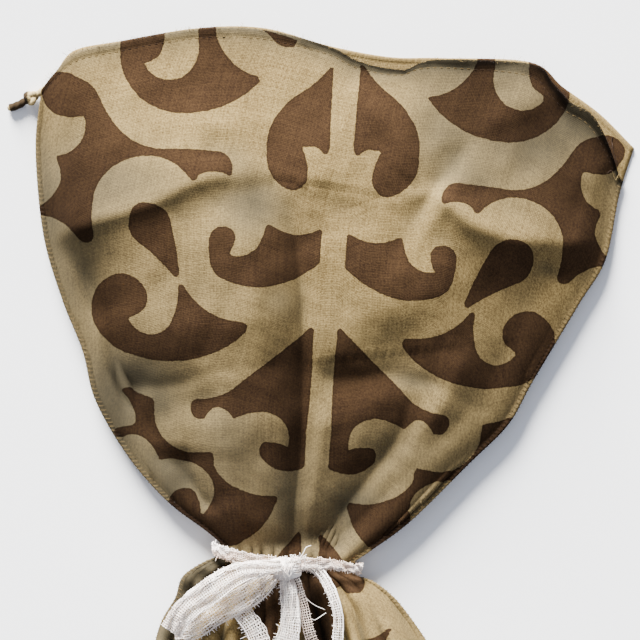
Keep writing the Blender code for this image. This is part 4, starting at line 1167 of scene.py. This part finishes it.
def tubes(lines, radius, normals=None, sides=4):
    """Points and faces of thin closed tubes along many lines of equal point count.

    Each ring is a regular polygon square to its line, and both ends are capped.
    """
    lines = np.asarray(lines, dtype=float)
    count, length = lines.shape[:2]
    ahead = unit(np.gradient(lines, axis=1))
    up = np.broadcast_to(np.array([0.0, 0.0, 1.0]), lines.shape) if normals is None else normals
    side = unit(np.cross(ahead, up))
    rise = np.cross(side, ahead)
    turn = 2 * math.pi * (np.arange(sides) + 0.5) / sides
    radius = np.broadcast_to(np.asarray(radius, dtype=float), lines.shape[:2])[..., None, None]
    rings = lines[:, :, None] + radius * (
        np.cos(turn)[:, None] * side[:, :, None] + np.sin(turn)[:, None] * rise[:, :, None])
    number = np.arange(count * length * sides).reshape(count, length, sides)
    near, far = number[:, :-1], number[:, 1:]
    walls = np.stack([near, np.roll(near, -1, 2), np.roll(far, -1, 2), far], -1).reshape(-1, 4)
    caps = number[:, 0].tolist() + number[:, -1, ::-1].tolist()
    return rings.reshape(-1, 3), walls[:, ::-1].tolist() + caps


def joined(parts):
    """Several meshes' points and faces as one mesh."""
    points, faces, start = [], [], 0
    for part_points, part_faces in parts:
        points.append(part_points)
        faces += [[corner + start for corner in face] for face in part_faces]
        start += len(part_points)
    return np.concatenate(points), faces


def highest(surfaces, x, y, reach):
    """Highest point, within reach of each place, of the surfaces that lie beneath."""
    points = np.vstack([surface.reshape(-1, 3) for surface in surfaces])
    near = np.abs(points[:, 0] - x[:, None]) < reach
    near &= np.abs(points[:, 1] - y[:, None]) < reach
    return np.where(near, points[:, 2], 0.0).max(axis=1)


def fold_over(q, wander, layers):
    """Swing from edge to edge, -1 to 1, as the place q on the flat cloth climbs through its layers."""
    return 1 - 2 * np.abs((q + wander * np.sin(math.pi * q / layers)) % 2 - 1)


def strip(rows, beneath, layers, seed, weave=1.0, pleat=0.5, pleats=3.0):
    """A ribbon's grid: stations along its path by threads across, folded lengthwise into layers.

    Across the flat ribbon the place swings from edge to edge once for each layer while it climbs by
    one gap, so the folded layers lie one over the other. Sharp lengthwise pleats, the peaks of a
    sine's size, wander from side to side, and an uneven width crumples it. `weave` is how much
    wider apart than usual its threads lie. Returns the grid and its normals.
    """
    draw = np.random.default_rng(seed)
    pitch = size("gauze_pitch") * weave
    stations = int(lengths(np.array(rows)[:, :2])[-1] / pitch) + 1
    t = np.linspace(0, 1, stations)
    x, y, lift, width, roll = smooth_path(rows, t).T
    resting = highest(beneath, x, y, RIBBON_FOOT) + RIBBON_CLEARANCE
    for _ in range(6):
        padded = np.concatenate([resting[:1], resting, resting[-1:]])
        resting = (padded[:-2] + 2 * padded[1:-1] + padded[2:]) / 4
    heading = unit(np.stack([np.gradient(x), np.gradient(y)], axis=-1))
    roll = np.radians(roll)
    cross = np.stack(
        [-heading[:, 1] * np.cos(roll), heading[:, 0] * np.cos(roll), np.sin(roll)], axis=-1)
    up = np.cross(np.column_stack([heading, np.zeros(stations)]), cross)
    threads = max(int(layers * width.mean() / pitch) + 1, 5)
    q = np.linspace(0, layers, threads)[None, :]
    t, width = t[:, None], width[:, None]
    wander = sum(0.05 * np.sin(2 * math.pi * (k * t + draw.uniform())) for k in (2, 3.3, 5.1))
    inset = 1 - 0.16 * np.abs(np.sin(1.7 * q + 5 * t + draw.uniform(0, 6)))
    lateral = 0.5 * width * fold_over(q, wander, layers) * inset
    phase = math.pi * pleats * lateral / width
    phase = phase + 1.3 * np.sin(3.1 * t + seed) + 0.6 * np.sin(11 * t + 2 * seed) + 0.35 * q
    wrinkle = pleat * (1 - 2 * np.abs(np.sin(phase))) + 0.25 * np.sin(2 * phase + 9 * t)
    rise = GAUZE_LAYER * (q - layers / 2) + wrinkle - RIBBON_CUP * (2 * lateral / width) ** 2
    middle = np.column_stack([x, y, resting + lift])
    points = middle[:, None] + lateral[..., None] * cross[:, None] + rise[..., None] * up[:, None]
    return points, np.broadcast_to(up[:, None], points.shape)


def woven(points, normals, seed, fray, selvage=1.0):
    """Threads along and across a ribbon's grid, over and under each other, the cross ones frayed.

    `fray` is how far the cross threads reach past each edge, and `selvage` how much thicker the
    outermost lengthwise threads are. Returns the tubes' points and faces.
    """
    draw = np.random.default_rng(seed)
    rows, columns = points.shape[:2]
    jitter = draw.normal(0, GAUZE_STRAY, points.shape)
    parity = (np.add.outer(np.arange(rows), np.arange(columns)) % 2 * 2 - 1)[..., None]
    up = normals * GAUZE_WEAVE
    warp = points + jitter + parity * up
    weft = points + jitter - parity * up
    ends = []
    for edge, inner, length in ((0, 1, fray[0]), (-1, -2, fray[1])):
        out = unit(weft[:, edge] - weft[:, inner])
        reach = draw.uniform(0.15, 1.0, (rows, 1)) * length
        ends.append(weft[:, edge] + out * reach + draw.normal(0, 0.25, (rows, 3)) * reach)
    weft = np.concatenate([ends[0][:, None], weft, ends[1][:, None]], axis=1)
    weft_up = np.concatenate([normals[:, :1], normals, normals[:, -1:]], axis=1)
    radius = size("gauze_thread") / 2
    thick = radius * draw.uniform(0.75, 1.3, (columns, 1))
    thick[[0, -1]] *= selvage
    thin = radius * draw.uniform(0.75, 1.2, (rows, 1))
    return [
        tubes(warp.transpose(1, 0, 2), thick, normals.transpose(1, 0, 2)),
        tubes(weft, thin, weft_up)]


def dulled(seed, share):
    """A function that gives each point its soil, in soft patches about the given share."""
    return lambda points: np.clip(share * (1 + 1.5 * waves(points[:, :2], 7.0, seed)), 0, 1)


def add_ribbon(scene, node, parts, soil_and_painted_shade):
    """A gauze piece from its threads, with its darkening stored on it; its solid is hidden."""
    points, faces = joined(parts)
    made = add_mesh(node + "_gauze", points, faces, finish_of("cotton_gauze_thread", scene))
    add_attribute(made, "soil_and_painted_shade", soil_and_painted_shade(points))
    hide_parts(node)


def hairs(root, out, bend, reach, shares):
    """Short threads: each leaves its root along its way out, and bends more the further it is."""
    return np.stack([root + (out + bend * share) * reach * share for share in shares], axis=1)


def front_painted_shade_and_rim(across, along, xy, upper):
    """The front's darkening at each grid point: painted shade in hollows, towards the tie, along the
    left side and in patches, and a dark rim along the hem with painted shade below it.

    A hollow is where the cloth lies lower than its own blurred height. The hem's rim and its shade
    fall off from the mouth as a bell curve does, and so does each patch of painted shade from its
    middle.
    """
    distance = (along * FLAT_LENGTH)[:, None]
    # Painted shade in the hollows, strongest on the flare.
    depth = blurred(upper[..., 2], HOLLOW_REACH) - upper[..., 2] - HOLLOW_FROM
    hollow = np.clip(depth, 0, HOLLOW_DEEPEST) * HOLLOW_SHADE * read_rows(along, HOLLOW_ALONG)[:, None]
    uneven = 0.86 + 0.14 * np.sin(37 * across + 3 * np.sin(11 * across))[None]
    # A dark rim along the mouth, with painted shade below it.
    (most, reach), (halo, halo_reach) = HEM_DARK_RIM, HEM_PAINTED_SHADE
    hem = most * uneven * np.exp(-(distance / reach) ** 2) + halo * np.exp(-(distance / halo_reach) ** 2)
    hem = hem * read_rows(across, HEM_DARKENING_ALONG)[None]
    # Painted shade along the left side.
    share, reach = LEFT_SIDE_SHADE
    left_shade = share * np.exp(-(across / reach) ** 2)[None] * read_rows(along, LEFT_SIDE_SHADE_FROM)[:, None]
    # Patches of painted shade.
    shade_patches = sum(share * np.exp(-((xy[..., 0] - x) / half_x) ** 2 - ((xy[..., 1] - y) / half_y) ** 2)
                for x, y, half_x, half_y, share in SHADE_PATCHES)
    # Painted shade growing towards the tie.
    shade_to_tie = read_rows(along, SHADE_TOWARDS_TIE)[:, None]
    return np.clip(hollow + hem + shade_to_tie + left_shade + shade_patches, 0, MOST_DARKENING)


def overlock(outer, inner, under, draw):
    """One seam's stitches as tubes: each goes in over the cloth, round the edge and back under it.

    `outer` is the front's upper edge and `inner` a line further in on it. `under` is the back's
    lower edge, read at the same shares of its length.
    """
    length = lengths(outer[:, :2])
    places = np.arange(OVERLOCK_END, length[-1] - OVERLOCK_END, OVERLOCK_PITCH)
    edge = read_line(outer, length, places)
    into = unit((read_line(inner, length, places) - edge) * FLAT)
    under_length = lengths(under[:, :2])
    floor = np.interp(places / length[-1], under_length / under_length[-1], under[:, 2])
    ahead = unit(np.gradient(edge, axis=0)) * FLAT
    top = edge[:, 2] + OVERLOCK_LIFT
    base = np.maximum(floor - OVERLOCK_UNDER, OVERLOCK_LOWEST)
    lines = np.stack([
        edge * FLAT + into * inward + ahead * slant
        + np.outer(base + (top - base) * share, (0, 0, 1))
        for inward, share, slant in OVERLOCK_STITCH], axis=1)
    return tubes(lines + draw.normal(0, OVERLOCK_WOBBLE, lines.shape), SEWING_THREAD / 2)


class BAG_OT_stage(bpy.types.Operator):
    """Camera straight above, soft light from the upper left, and a pale floor"""

    bl_idname = "bag.stage"
    bl_label = "Stage"

    def execute(self, context):
        scene = context.scene
        camera = bpy.data.cameras.new("camera")
        camera.sensor_width = SENSOR
        camera.lens = SENSOR * CAMERA_HEIGHT / VIEW_WIDTH
        camera.clip_end = CAMERA_SEES
        eye = bpy.data.objects.new("camera", camera)
        eye.location = (VIEW_CENTRE[0] * MM, VIEW_CENTRE[1] * MM, CAMERA_HEIGHT * MM)
        scene.collection.objects.link(eye)
        scene.camera = eye

        key = bpy.data.lights.new("key", "SUN")
        key.energy = scene.bag_lights.key
        key.angle = scene.bag_lights.key_softness
        lamp = bpy.data.objects.new("key", key)
        lamp.rotation_euler = Vector(KEY_FROM).to_track_quat("Z", "Y").to_euler()
        scene.collection.objects.link(lamp)

        world = bpy.data.worlds.new("studio")
        world.use_nodes = True
        sky = world.node_tree.nodes["Background"]
        sky.inputs["Color"].default_value = scene.bag_colours.sky[:]
        sky.inputs["Strength"].default_value = scene.bag_lights.fill
        scene.world = world

        mesh = bpy.data.meshes.new("floor")
        corners = [(-FLOOR, -FLOOR, 0), (FLOOR, -FLOOR, 0), (FLOOR, FLOOR, 0), (-FLOOR, FLOOR, 0)]
        mesh.from_pydata((np.array(corners) / 2).tolist(), [], [(0, 1, 2, 3)])
        mesh.materials.append(floor_material(scene.bag_colours))
        floor = bpy.data.objects.new("floor", mesh)
        scene.collection.objects.link(floor)
        return {"FINISHED"}


class BAG_OT_drawcord(bpy.types.Operator):
    """The stub of twisted drawcord with its stopper knot"""

    bl_idname = "bag.drawcord"
    bl_label = "Drawcord"

    def execute(self, context):
        finish = finish_of("twisted_cotton_cord", context.scene)
        diameter = size("cord")
        route = smooth_path(CORD_ROUTE, np.linspace(0, 1, CORD_STATIONS))
        length = lengths(route)[-1]
        points, faces = tubes(route[None], diameter / 2, sides=CORD_SIDES)
        rings = points.reshape(len(route), CORD_SIDES, 3)

        # Three strands: the grooves between them wind round the cord. Its end swells and frays.
        share = np.linspace(0, 1, len(route))[:, None]
        turn = 2 * math.pi * np.arange(CORD_SIDES)[None] / CORD_SIDES
        grooves = 1 - STRAND_GROOVE * np.cos(1.5 * (turn - share * length * STRAND_TWIST)) ** 2
        frayed = 1 - 0.5 * (share - END_FRAYS_FROM) / (1 - END_FRAYS_FROM)
        frayed = np.where(share > END_FRAYS_FROM, frayed, read_rows(share, END_SWELLS))
        rings = route[:, None] + (rings - route[:, None]) * (grooves * frayed)[..., None]
        cord = add_mesh("drawcord_yarn", rings, faces, finish)
        stain_from, stain_over = STAIN_FROM
        stain = np.clip((share - stain_from) / stain_over, 0, 1)
        stain = stain * np.where(share > END_CLEAN_FROM, END_CLEAN_SOIL, 1.0)
        add_attribute(cord, "soil_and_painted_shade", np.repeat(stain, CORD_SIDES, axis=1))

        # The stopper: an overhand knot, drawn as a small trefoil pulled tight round the cord.
        phase = np.linspace(0, 2 * math.pi, STOPPER_STATIONS)
        trefoil = np.stack([
            np.sin(phase) + 2 * np.sin(2 * phase), np.cos(phase) - 2 * np.cos(2 * phase),
            -np.sin(3 * phase)], axis=-1)
        radius = STOPPER_STRAND * (1 - 0.1 * np.abs(np.sin(STOPPER_TWISTS * phase)))
        points, faces = tubes((trefoil * STOPPER_SIZE + CORD_KNOT)[None], radius[None], sides=STOPPER_SIDES)
        knot = add_mesh("drawcord_stopper", points, faces, finish)
        soiled_from = CORD_KNOT[0] - STOPPER_SOIL
        add_attribute(knot, "soil_and_painted_shade", np.clip((soiled_from - points[:, 0]) / STOPPER_SOIL, 0, 1))
        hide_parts("drawcord_knot")
        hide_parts("drawcord", "drawcord_end")
        return {"FINISHED"}


class BAG_OT_panels(bpy.types.Operator):
    """The printed front and back, each with its rolled and sewn mouth hem"""

    bl_idname = "bag.panels"
    bl_label = "Panels"

    def execute(self, context):
        finish = finish_of("printed_jute_burlap", context.scene)
        across, along, xy, lower, upper = front_panel()
        add_panel("bag_front_cloth", upper, lower, xy, front_painted_shade_and_rim(across, along, xy, upper), finish)
        xy, lower, upper = back_panel()
        add_panel("bag_back_cloth", upper, lower, xy, np.full(xy.shape[:2], BACK_SOIL), finish)
        return {"FINISHED"}


class BAG_OT_sewing(bpy.types.Operator):
    """Overlocked side and bottom seams, the hem's stitches and the edges' fuzz"""

    bl_idname = "bag.sewing"
    bl_label = "Sewing"

    def execute(self, context):
        finish = finish_of("jute_sewing_yarn", context.scene)
        draw = np.random.default_rng(11)
        _across, along, _xy, lower, upper = front_panel()
        _xy, low_back, up_back = back_panel()

        # Left and right below the mouth, then the bottom.
        side = slice(OVERLOCK_FROM_ROW, None)
        points, faces = joined([
            overlock(upper[side, 0], upper[side, 3], low_back[side, 0], draw),
            overlock(upper[side, -1], upper[side, -4], low_back[side, -1], draw),
            overlock(upper[-1], upper[-3], low_back[-1], draw)])
        seam = add_mesh("seam_overlock", points, faces, finish)
        add_attribute(seam, "soil_and_painted_shade", draw.uniform(0.3, 1.0, len(points)))
        add_attribute(seam, "print_depth", print_depth(points[:, :2]))

        # Running stitches in the hem's groove.
        groove = upper[int(np.argmin(np.abs(along * FLAT_LENGTH - HEM_GROOVE[0])))]
        length = lengths(groove)
        starts = np.arange(HEM_STITCH_END, length[-1] - HEM_STITCH_END, HEM_STITCH_PITCH)
        lines = np.stack([
            read_line(groove, length, starts + HEM_STITCH_LENGTH * share) + (0, 0, lift)
            for share, lift in HEM_STITCH], axis=1)
        points, faces = tubes(lines, SEWING_THREAD / 2)
        stitches = add_mesh("hem_stitches", points, faces, finish)
        add_attribute(stitches, "soil_and_painted_shade", draw.uniform(0.5, 1.0, len(points)))
        add_attribute(stitches, "print_depth", print_depth(points[:, :2]))

        # Loose fibres along the mouth, and the frayed threads at its right corner.
        fuzz = []
        for edge, count in zip((upper[3], lower[1]), FIBRES):
            root = read_line(edge, np.arange(len(edge)), draw.uniform(0, len(edge) - 1, count))
            out = unit(draw.normal(0, 1, (count, 3)) * FIBRE_STRAY + FIBRE_OUT)
            bend = draw.normal(0, FIBRE_BEND, (count, 3))
            fuzz.append(hairs(root, out, bend, draw.uniform(*FIBRE_REACH, (count, 1)), (0.0, 0.5, 1.0)))
        fuzz_points, fuzz_faces = tubes(np.concatenate(fuzz), FIBRE_THICKNESS / 2, sides=3)
        frayed = np.stack([smooth_path(rows, np.linspace(0, 1, THREAD_STATIONS)) for rows in FRAYED])
        tops = highest([upper, up_back], frayed[..., 0].ravel(), frayed[..., 1].ravel(), FRAYED_REACH)
        frayed = np.dstack([frayed, tops.reshape(frayed.shape[:2]) + FRAYED_LIFT])
        points, faces = joined([(fuzz_points, fuzz_faces), tubes(frayed, FRAYED_THICKNESS / 2)])
        points[:, 2] = np.maximum(points[:, 2], FIBRE_LOWEST)
        fibres = add_mesh("mouth_fibres", points, faces, finish)
        soil_and_painted_shade = draw.uniform(0, 1, len(points))
        soil_and_painted_shade[len(fuzz_points):] = 0.0
        add_attribute(fibres, "soil_and_painted_shade", soil_and_painted_shade)
        add_attribute(fibres, "print_depth", print_depth(points[:, :2]))
        return {"FINISHED"}


class BAG_OT_band(bpy.types.Operator):
    """The gauze ribbon's turn around the gathered waist"""

    bl_idname = "bag.band"
    bl_label = "Band"

    def execute(self, context):
        upper = front_panel()[4]
        turn = np.linspace(0, 2 * math.pi, BAND_STATIONS)
        line = smooth_path(BAND_LINE, 0.5 - 0.5 * np.cos(turn))
        wide = size("band_width")

        # Its path is a squarish oval over the front and back under the bag.
        top = highest([upper], line[:, 0], line[:, 1], wide / 2 + 1).max() + BAND_OVER_CLOTH
        sine = np.sin(turn)
        bend = (top - BAND_UNDER_BAG) / 2 * np.sign(sine) * np.abs(sine) ** BAND_SQUARENESS
        path = np.column_stack([line, (top + BAND_UNDER_BAG) / 2 + bend])
        sideways = np.array([0.0, 1.0, 0.0])
        outward = unit(np.cross(unit(np.gradient(path, axis=0)), sideways))

        # The ribbon is folded lengthwise and crushed, so its edges wander and its layers ripple.
        width = BAND_WIDTH_AT_SIDES + (wide - BAND_WIDTH_AT_SIDES) * np.abs(sine)
        width = (width * read_rows(line[:, 0], BAND_NARROWS))[:, None]
        q = np.linspace(0, BAND_LAYERS, BAND_THREADS)[None]
        t = turn[:, None]
        swing = fold_over(q, 0.12 * np.sin(3 * t), BAND_LAYERS)
        lateral = 0.5 * width * swing * (1 - 0.2 * np.abs(np.sin(1.9 * q + 2 * t)))
        lateral = lateral + 0.5 * np.sin(17 * t + 1.3 * q) + 0.25 * np.sin(41 * t + 2.1 * q)
        crush = 3 * np.sin(2 * t) + 1.5 * np.sin(13 * t) + 0.8 * np.sin(31 * t)
        rise = BAND_LAYER_GAP * (q - BAND_LAYERS / 2) + 0.35 * np.sin(1.6 * lateral + crush)
        points = path[:, None] + lateral[..., None] * sideways + rise[..., None] * outward[:, None]
        points[..., 2] = np.maximum(points[..., 2], BAND_LOWEST)
        normals = np.broadcast_to(outward[:, None], points.shape)

        line_y, reach, share = BAND_SOIL_LINE
        add_ribbon(
            context.scene, "tie_band", woven(points, normals, 21, fray=(1.4, 1.4)),
            lambda p: dulled(21, 0.25)(p) + share * np.exp(-((p[:, 1] - line_y) / reach) ** 2)
            + read_rows(p[:, 0], BAND_SOIL_ALONG))
        return {"FINISHED"}


class BAG_OT_bow(bpy.types.Operator):
    """The bow's two loops and two free ends"""

    bl_idname = "bag.bow"
    bl_label = "Bow"

    def execute(self, context):
        scene = context.scene
        low_end = front_panel()[4][UNDER_BOW_FROM_ROW:, ::2]
        tail = strip(TAIL_LEFT, [low_end], 2, 31, weave=LOOSER_WEAVE)
        add_ribbon(
            scene, "tie_tail_left", woven(*tail, 32, fray=(3.0, 1.0), selvage=2.0),
            dulled(32, 0.15))
        centre = strip(TAIL_CENTRE, [low_end], 4, 33, pleat=0.9)
        add_ribbon(
            scene, "tie_tail_centre", woven(*centre, 34, fray=(1.2, 1.6), selvage=1.6),
            dulled(34, 0.1))

        # Each loop runs out and comes back beneath itself.
        back = strip(LOOP_LEFT_BACK, [low_end, tail[0]], 3, 35, weave=LOOSER_WEAVE, pleat=0.8)
        out = strip(LOOP_LEFT_OUT, [low_end, tail[0], back[0]], 5, 37, pleat=1.0, pleats=2.3)
        add_ribbon(
            scene, "tie_loop_left",
            woven(*back, 36, fray=(2.8, 1.2), selvage=2.2) + woven(*out, 38, fray=(1.0, 1.0), selvage=1.8),
            dulled(36, 0.12))
        back = strip(LOOP_RIGHT_BACK, [low_end], 1, 41)
        out = strip(LOOP_RIGHT_OUT, [low_end], 3, 43, pleat=0.7, pleats=2.0)
        # The returning strand's lower left part, over the valley below the knot, gets painted shade in the
        # pinkish beige.
        add_ribbon(
            scene, "tie_loop_right",
            woven(*back, 42, fray=(0.8, 0.8)) + woven(*out, 44, fray=(2.0, 0.5), selvage=2.0),
            lambda p: dulled(42, 0.1)(p) + 0.7 * (p[:, 0] < -7.0) * (p[:, 1] < -78.0))
        return {"FINISHED"}


class BAG_OT_knot(bpy.types.Operator):
    """The bow's knot, a crumpled core wrapped with threads, and the threads pulled out of the bow"""

    bl_idname = "bag.knot"
    bl_label = "Knot"

    def execute(self, context):
        finish = finish_of("cotton_gauze_thread", context.scene)
        x, y, length, width, height = KNOT
        middle = np.array([x, y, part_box("tie_knot")[0][2] / MM + height / 2 - KNOT_SINKS])
        half = 0.5 * np.array([length, width, height])

        # The core: an ellipsoid along the band whose girth is creased by the size of a sine.
        rings, sides = KNOT_GRID
        phi = np.linspace(0, math.pi, rings)[:, None]
        theta = np.linspace(0, 2 * math.pi, sides, endpoint=False)[None]
        crease = 1 - 0.22 * np.abs(np.sin(3.5 * theta + 1.6 * np.sin(2 * phi + 0.5))) * np.sin(phi)
        crease = crease + 0.06 * np.sin(5 * phi + 2 * theta)
        core = np.stack([
            np.cos(phi) * (1 + 0 * theta), np.sin(phi) * np.cos(theta) * crease,
            np.sin(phi) * np.sin(theta) * crease], axis=-1) * half * KNOT_CORE + middle
        number = np.arange(rings * sides).reshape(rings, sides)
        near, far = number[:-1], number[1:]
        faces = np.stack([near, np.roll(near, -1, 1), np.roll(far, -1, 1), far], -1).reshape(-1, 4)

        # Threads over the core: most lie across the band, each on its own slant, and some along it.
        draw = np.random.default_rng(51)
        sweep = np.linspace(-0.15, math.pi + 0.15, 22)[None]
        each = (KNOT_WRAPS, 1)
        place = draw.uniform(-0.9, 0.9, each) + draw.normal(0, 0.3, each) * np.cos(sweep)
        girth = np.sqrt(np.clip(1 - place ** 2, 0.05, 1)) * draw.uniform(0.8, 1.1, each)
        girth = girth * (1 + 0.08 * np.sin(3 * sweep + draw.uniform(0, 6, each)))
        wraps = np.stack([place, girth * np.cos(sweep), girth * np.sin(sweep)], axis=-1)
        each = (KNOT_CROSSINGS, 1)
        place = draw.uniform(0.1, math.pi - 0.1, each) + draw.normal(0, 0.2, each) * np.cos(sweep)
        across = np.stack([
            1.25 * np.cos(sweep) + 0 * place, np.cos(place) * (0.55 + 0.45 * np.sin(sweep)),
            np.sin(place) * np.sin(sweep) * 1.04], axis=-1)
        points, faces = joined([
            (core.reshape(-1, 3), faces.tolist()),
            tubes(wraps * half + middle, KNOT_WRAP_THREAD / 2),
            tubes(across * half + middle, KNOT_CROSSING_THREAD / 2)])
        lump = add_mesh("tie_knot_gauze", points, faces, finish)
        add_attribute(lump, "soil_and_painted_shade", dulled(51, 0.15)(points))
        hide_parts("tie_knot")

        # Loose threads: pulled out of the ribbons' edges, and from the knot's tuft.
        pulled = np.stack([smooth_path(rows, np.linspace(0, 1, THREAD_STATIONS)) for rows in LOOSE_THREADS])
        root = middle + draw.normal(0, 1, (TUFT, 3)) * TUFT_ROOT_SPREAD + TUFT_ROOT
        out = draw.normal(0, 1, (TUFT, 3)) * TUFT_OUT_SPREAD + TUFT_OUT
        bend = draw.normal(0, 0.5, (TUFT, 3))
        tuft = hairs(root, out, bend, draw.uniform(*TUFT_REACH, (TUFT, 1)), (0.0, 0.35, 0.7, 1.0))
        points, faces = joined([tubes(pulled, LOOSE_THREAD / 2), tubes(tuft, TUFT_THREAD / 2)])
        loose = add_mesh("loose_gauze_threads", points, faces, finish)
        add_attribute(loose, "soil_and_painted_shade", np.full(len(points), LOOSE_SOIL))
        return {"FINISHED"}


GROUPS = {"bag_sizes": BagSizes, "bag_colours": BagColours, "bag_lights": BagLights}
OPERATORS = (
    BAG_OT_stage, BAG_OT_drawcord, BAG_OT_panels, BAG_OT_sewing, BAG_OT_band, BAG_OT_bow, BAG_OT_knot)


class BAG_PT_pieces(bpy.types.Panel):
    """Lists the bag's pieces, to be made from top to bottom, and its settings"""

    bl_label = "Burlap Bag"
    bl_idname = "BAG_PT_pieces"
    bl_space_type = "VIEW_3D"
    bl_region_type = "UI"
    bl_category = "Bag"

    def draw(self, context):
        for kind in OPERATORS:
            self.layout.operator(kind.bl_idname)
        for group in GROUPS:
            settings = getattr(context.scene, group)
            for name in settings.__annotations__:
                self.layout.prop(settings, name)


def register():
    """Makes the settings, operators and panel known to Blender."""
    for kind in (*GROUPS.values(), *OPERATORS, BAG_PT_pieces):
        bpy.utils.register_class(kind)
    for group, kind in GROUPS.items():
        setattr(bpy.types.Scene, group, bpy.props.PointerProperty(type=kind))


def unregister():
    """Takes them out again."""
    for group in GROUPS:
        delattr(bpy.types.Scene, group)
    for kind in reversed((*GROUPS.values(), *OPERATORS, BAG_PT_pieces)):
        bpy.utils.unregister_class(kind)


def main():
    """Makes the stage and every piece."""
    register()
    bpy.ops.bag.stage()
    bpy.ops.bag.drawcord()
    bpy.ops.bag.panels()
    bpy.ops.bag.sewing()
    bpy.ops.bag.band()
    bpy.ops.bag.bow()
    bpy.ops.bag.knot()


if __name__ == "__main__":
    main()
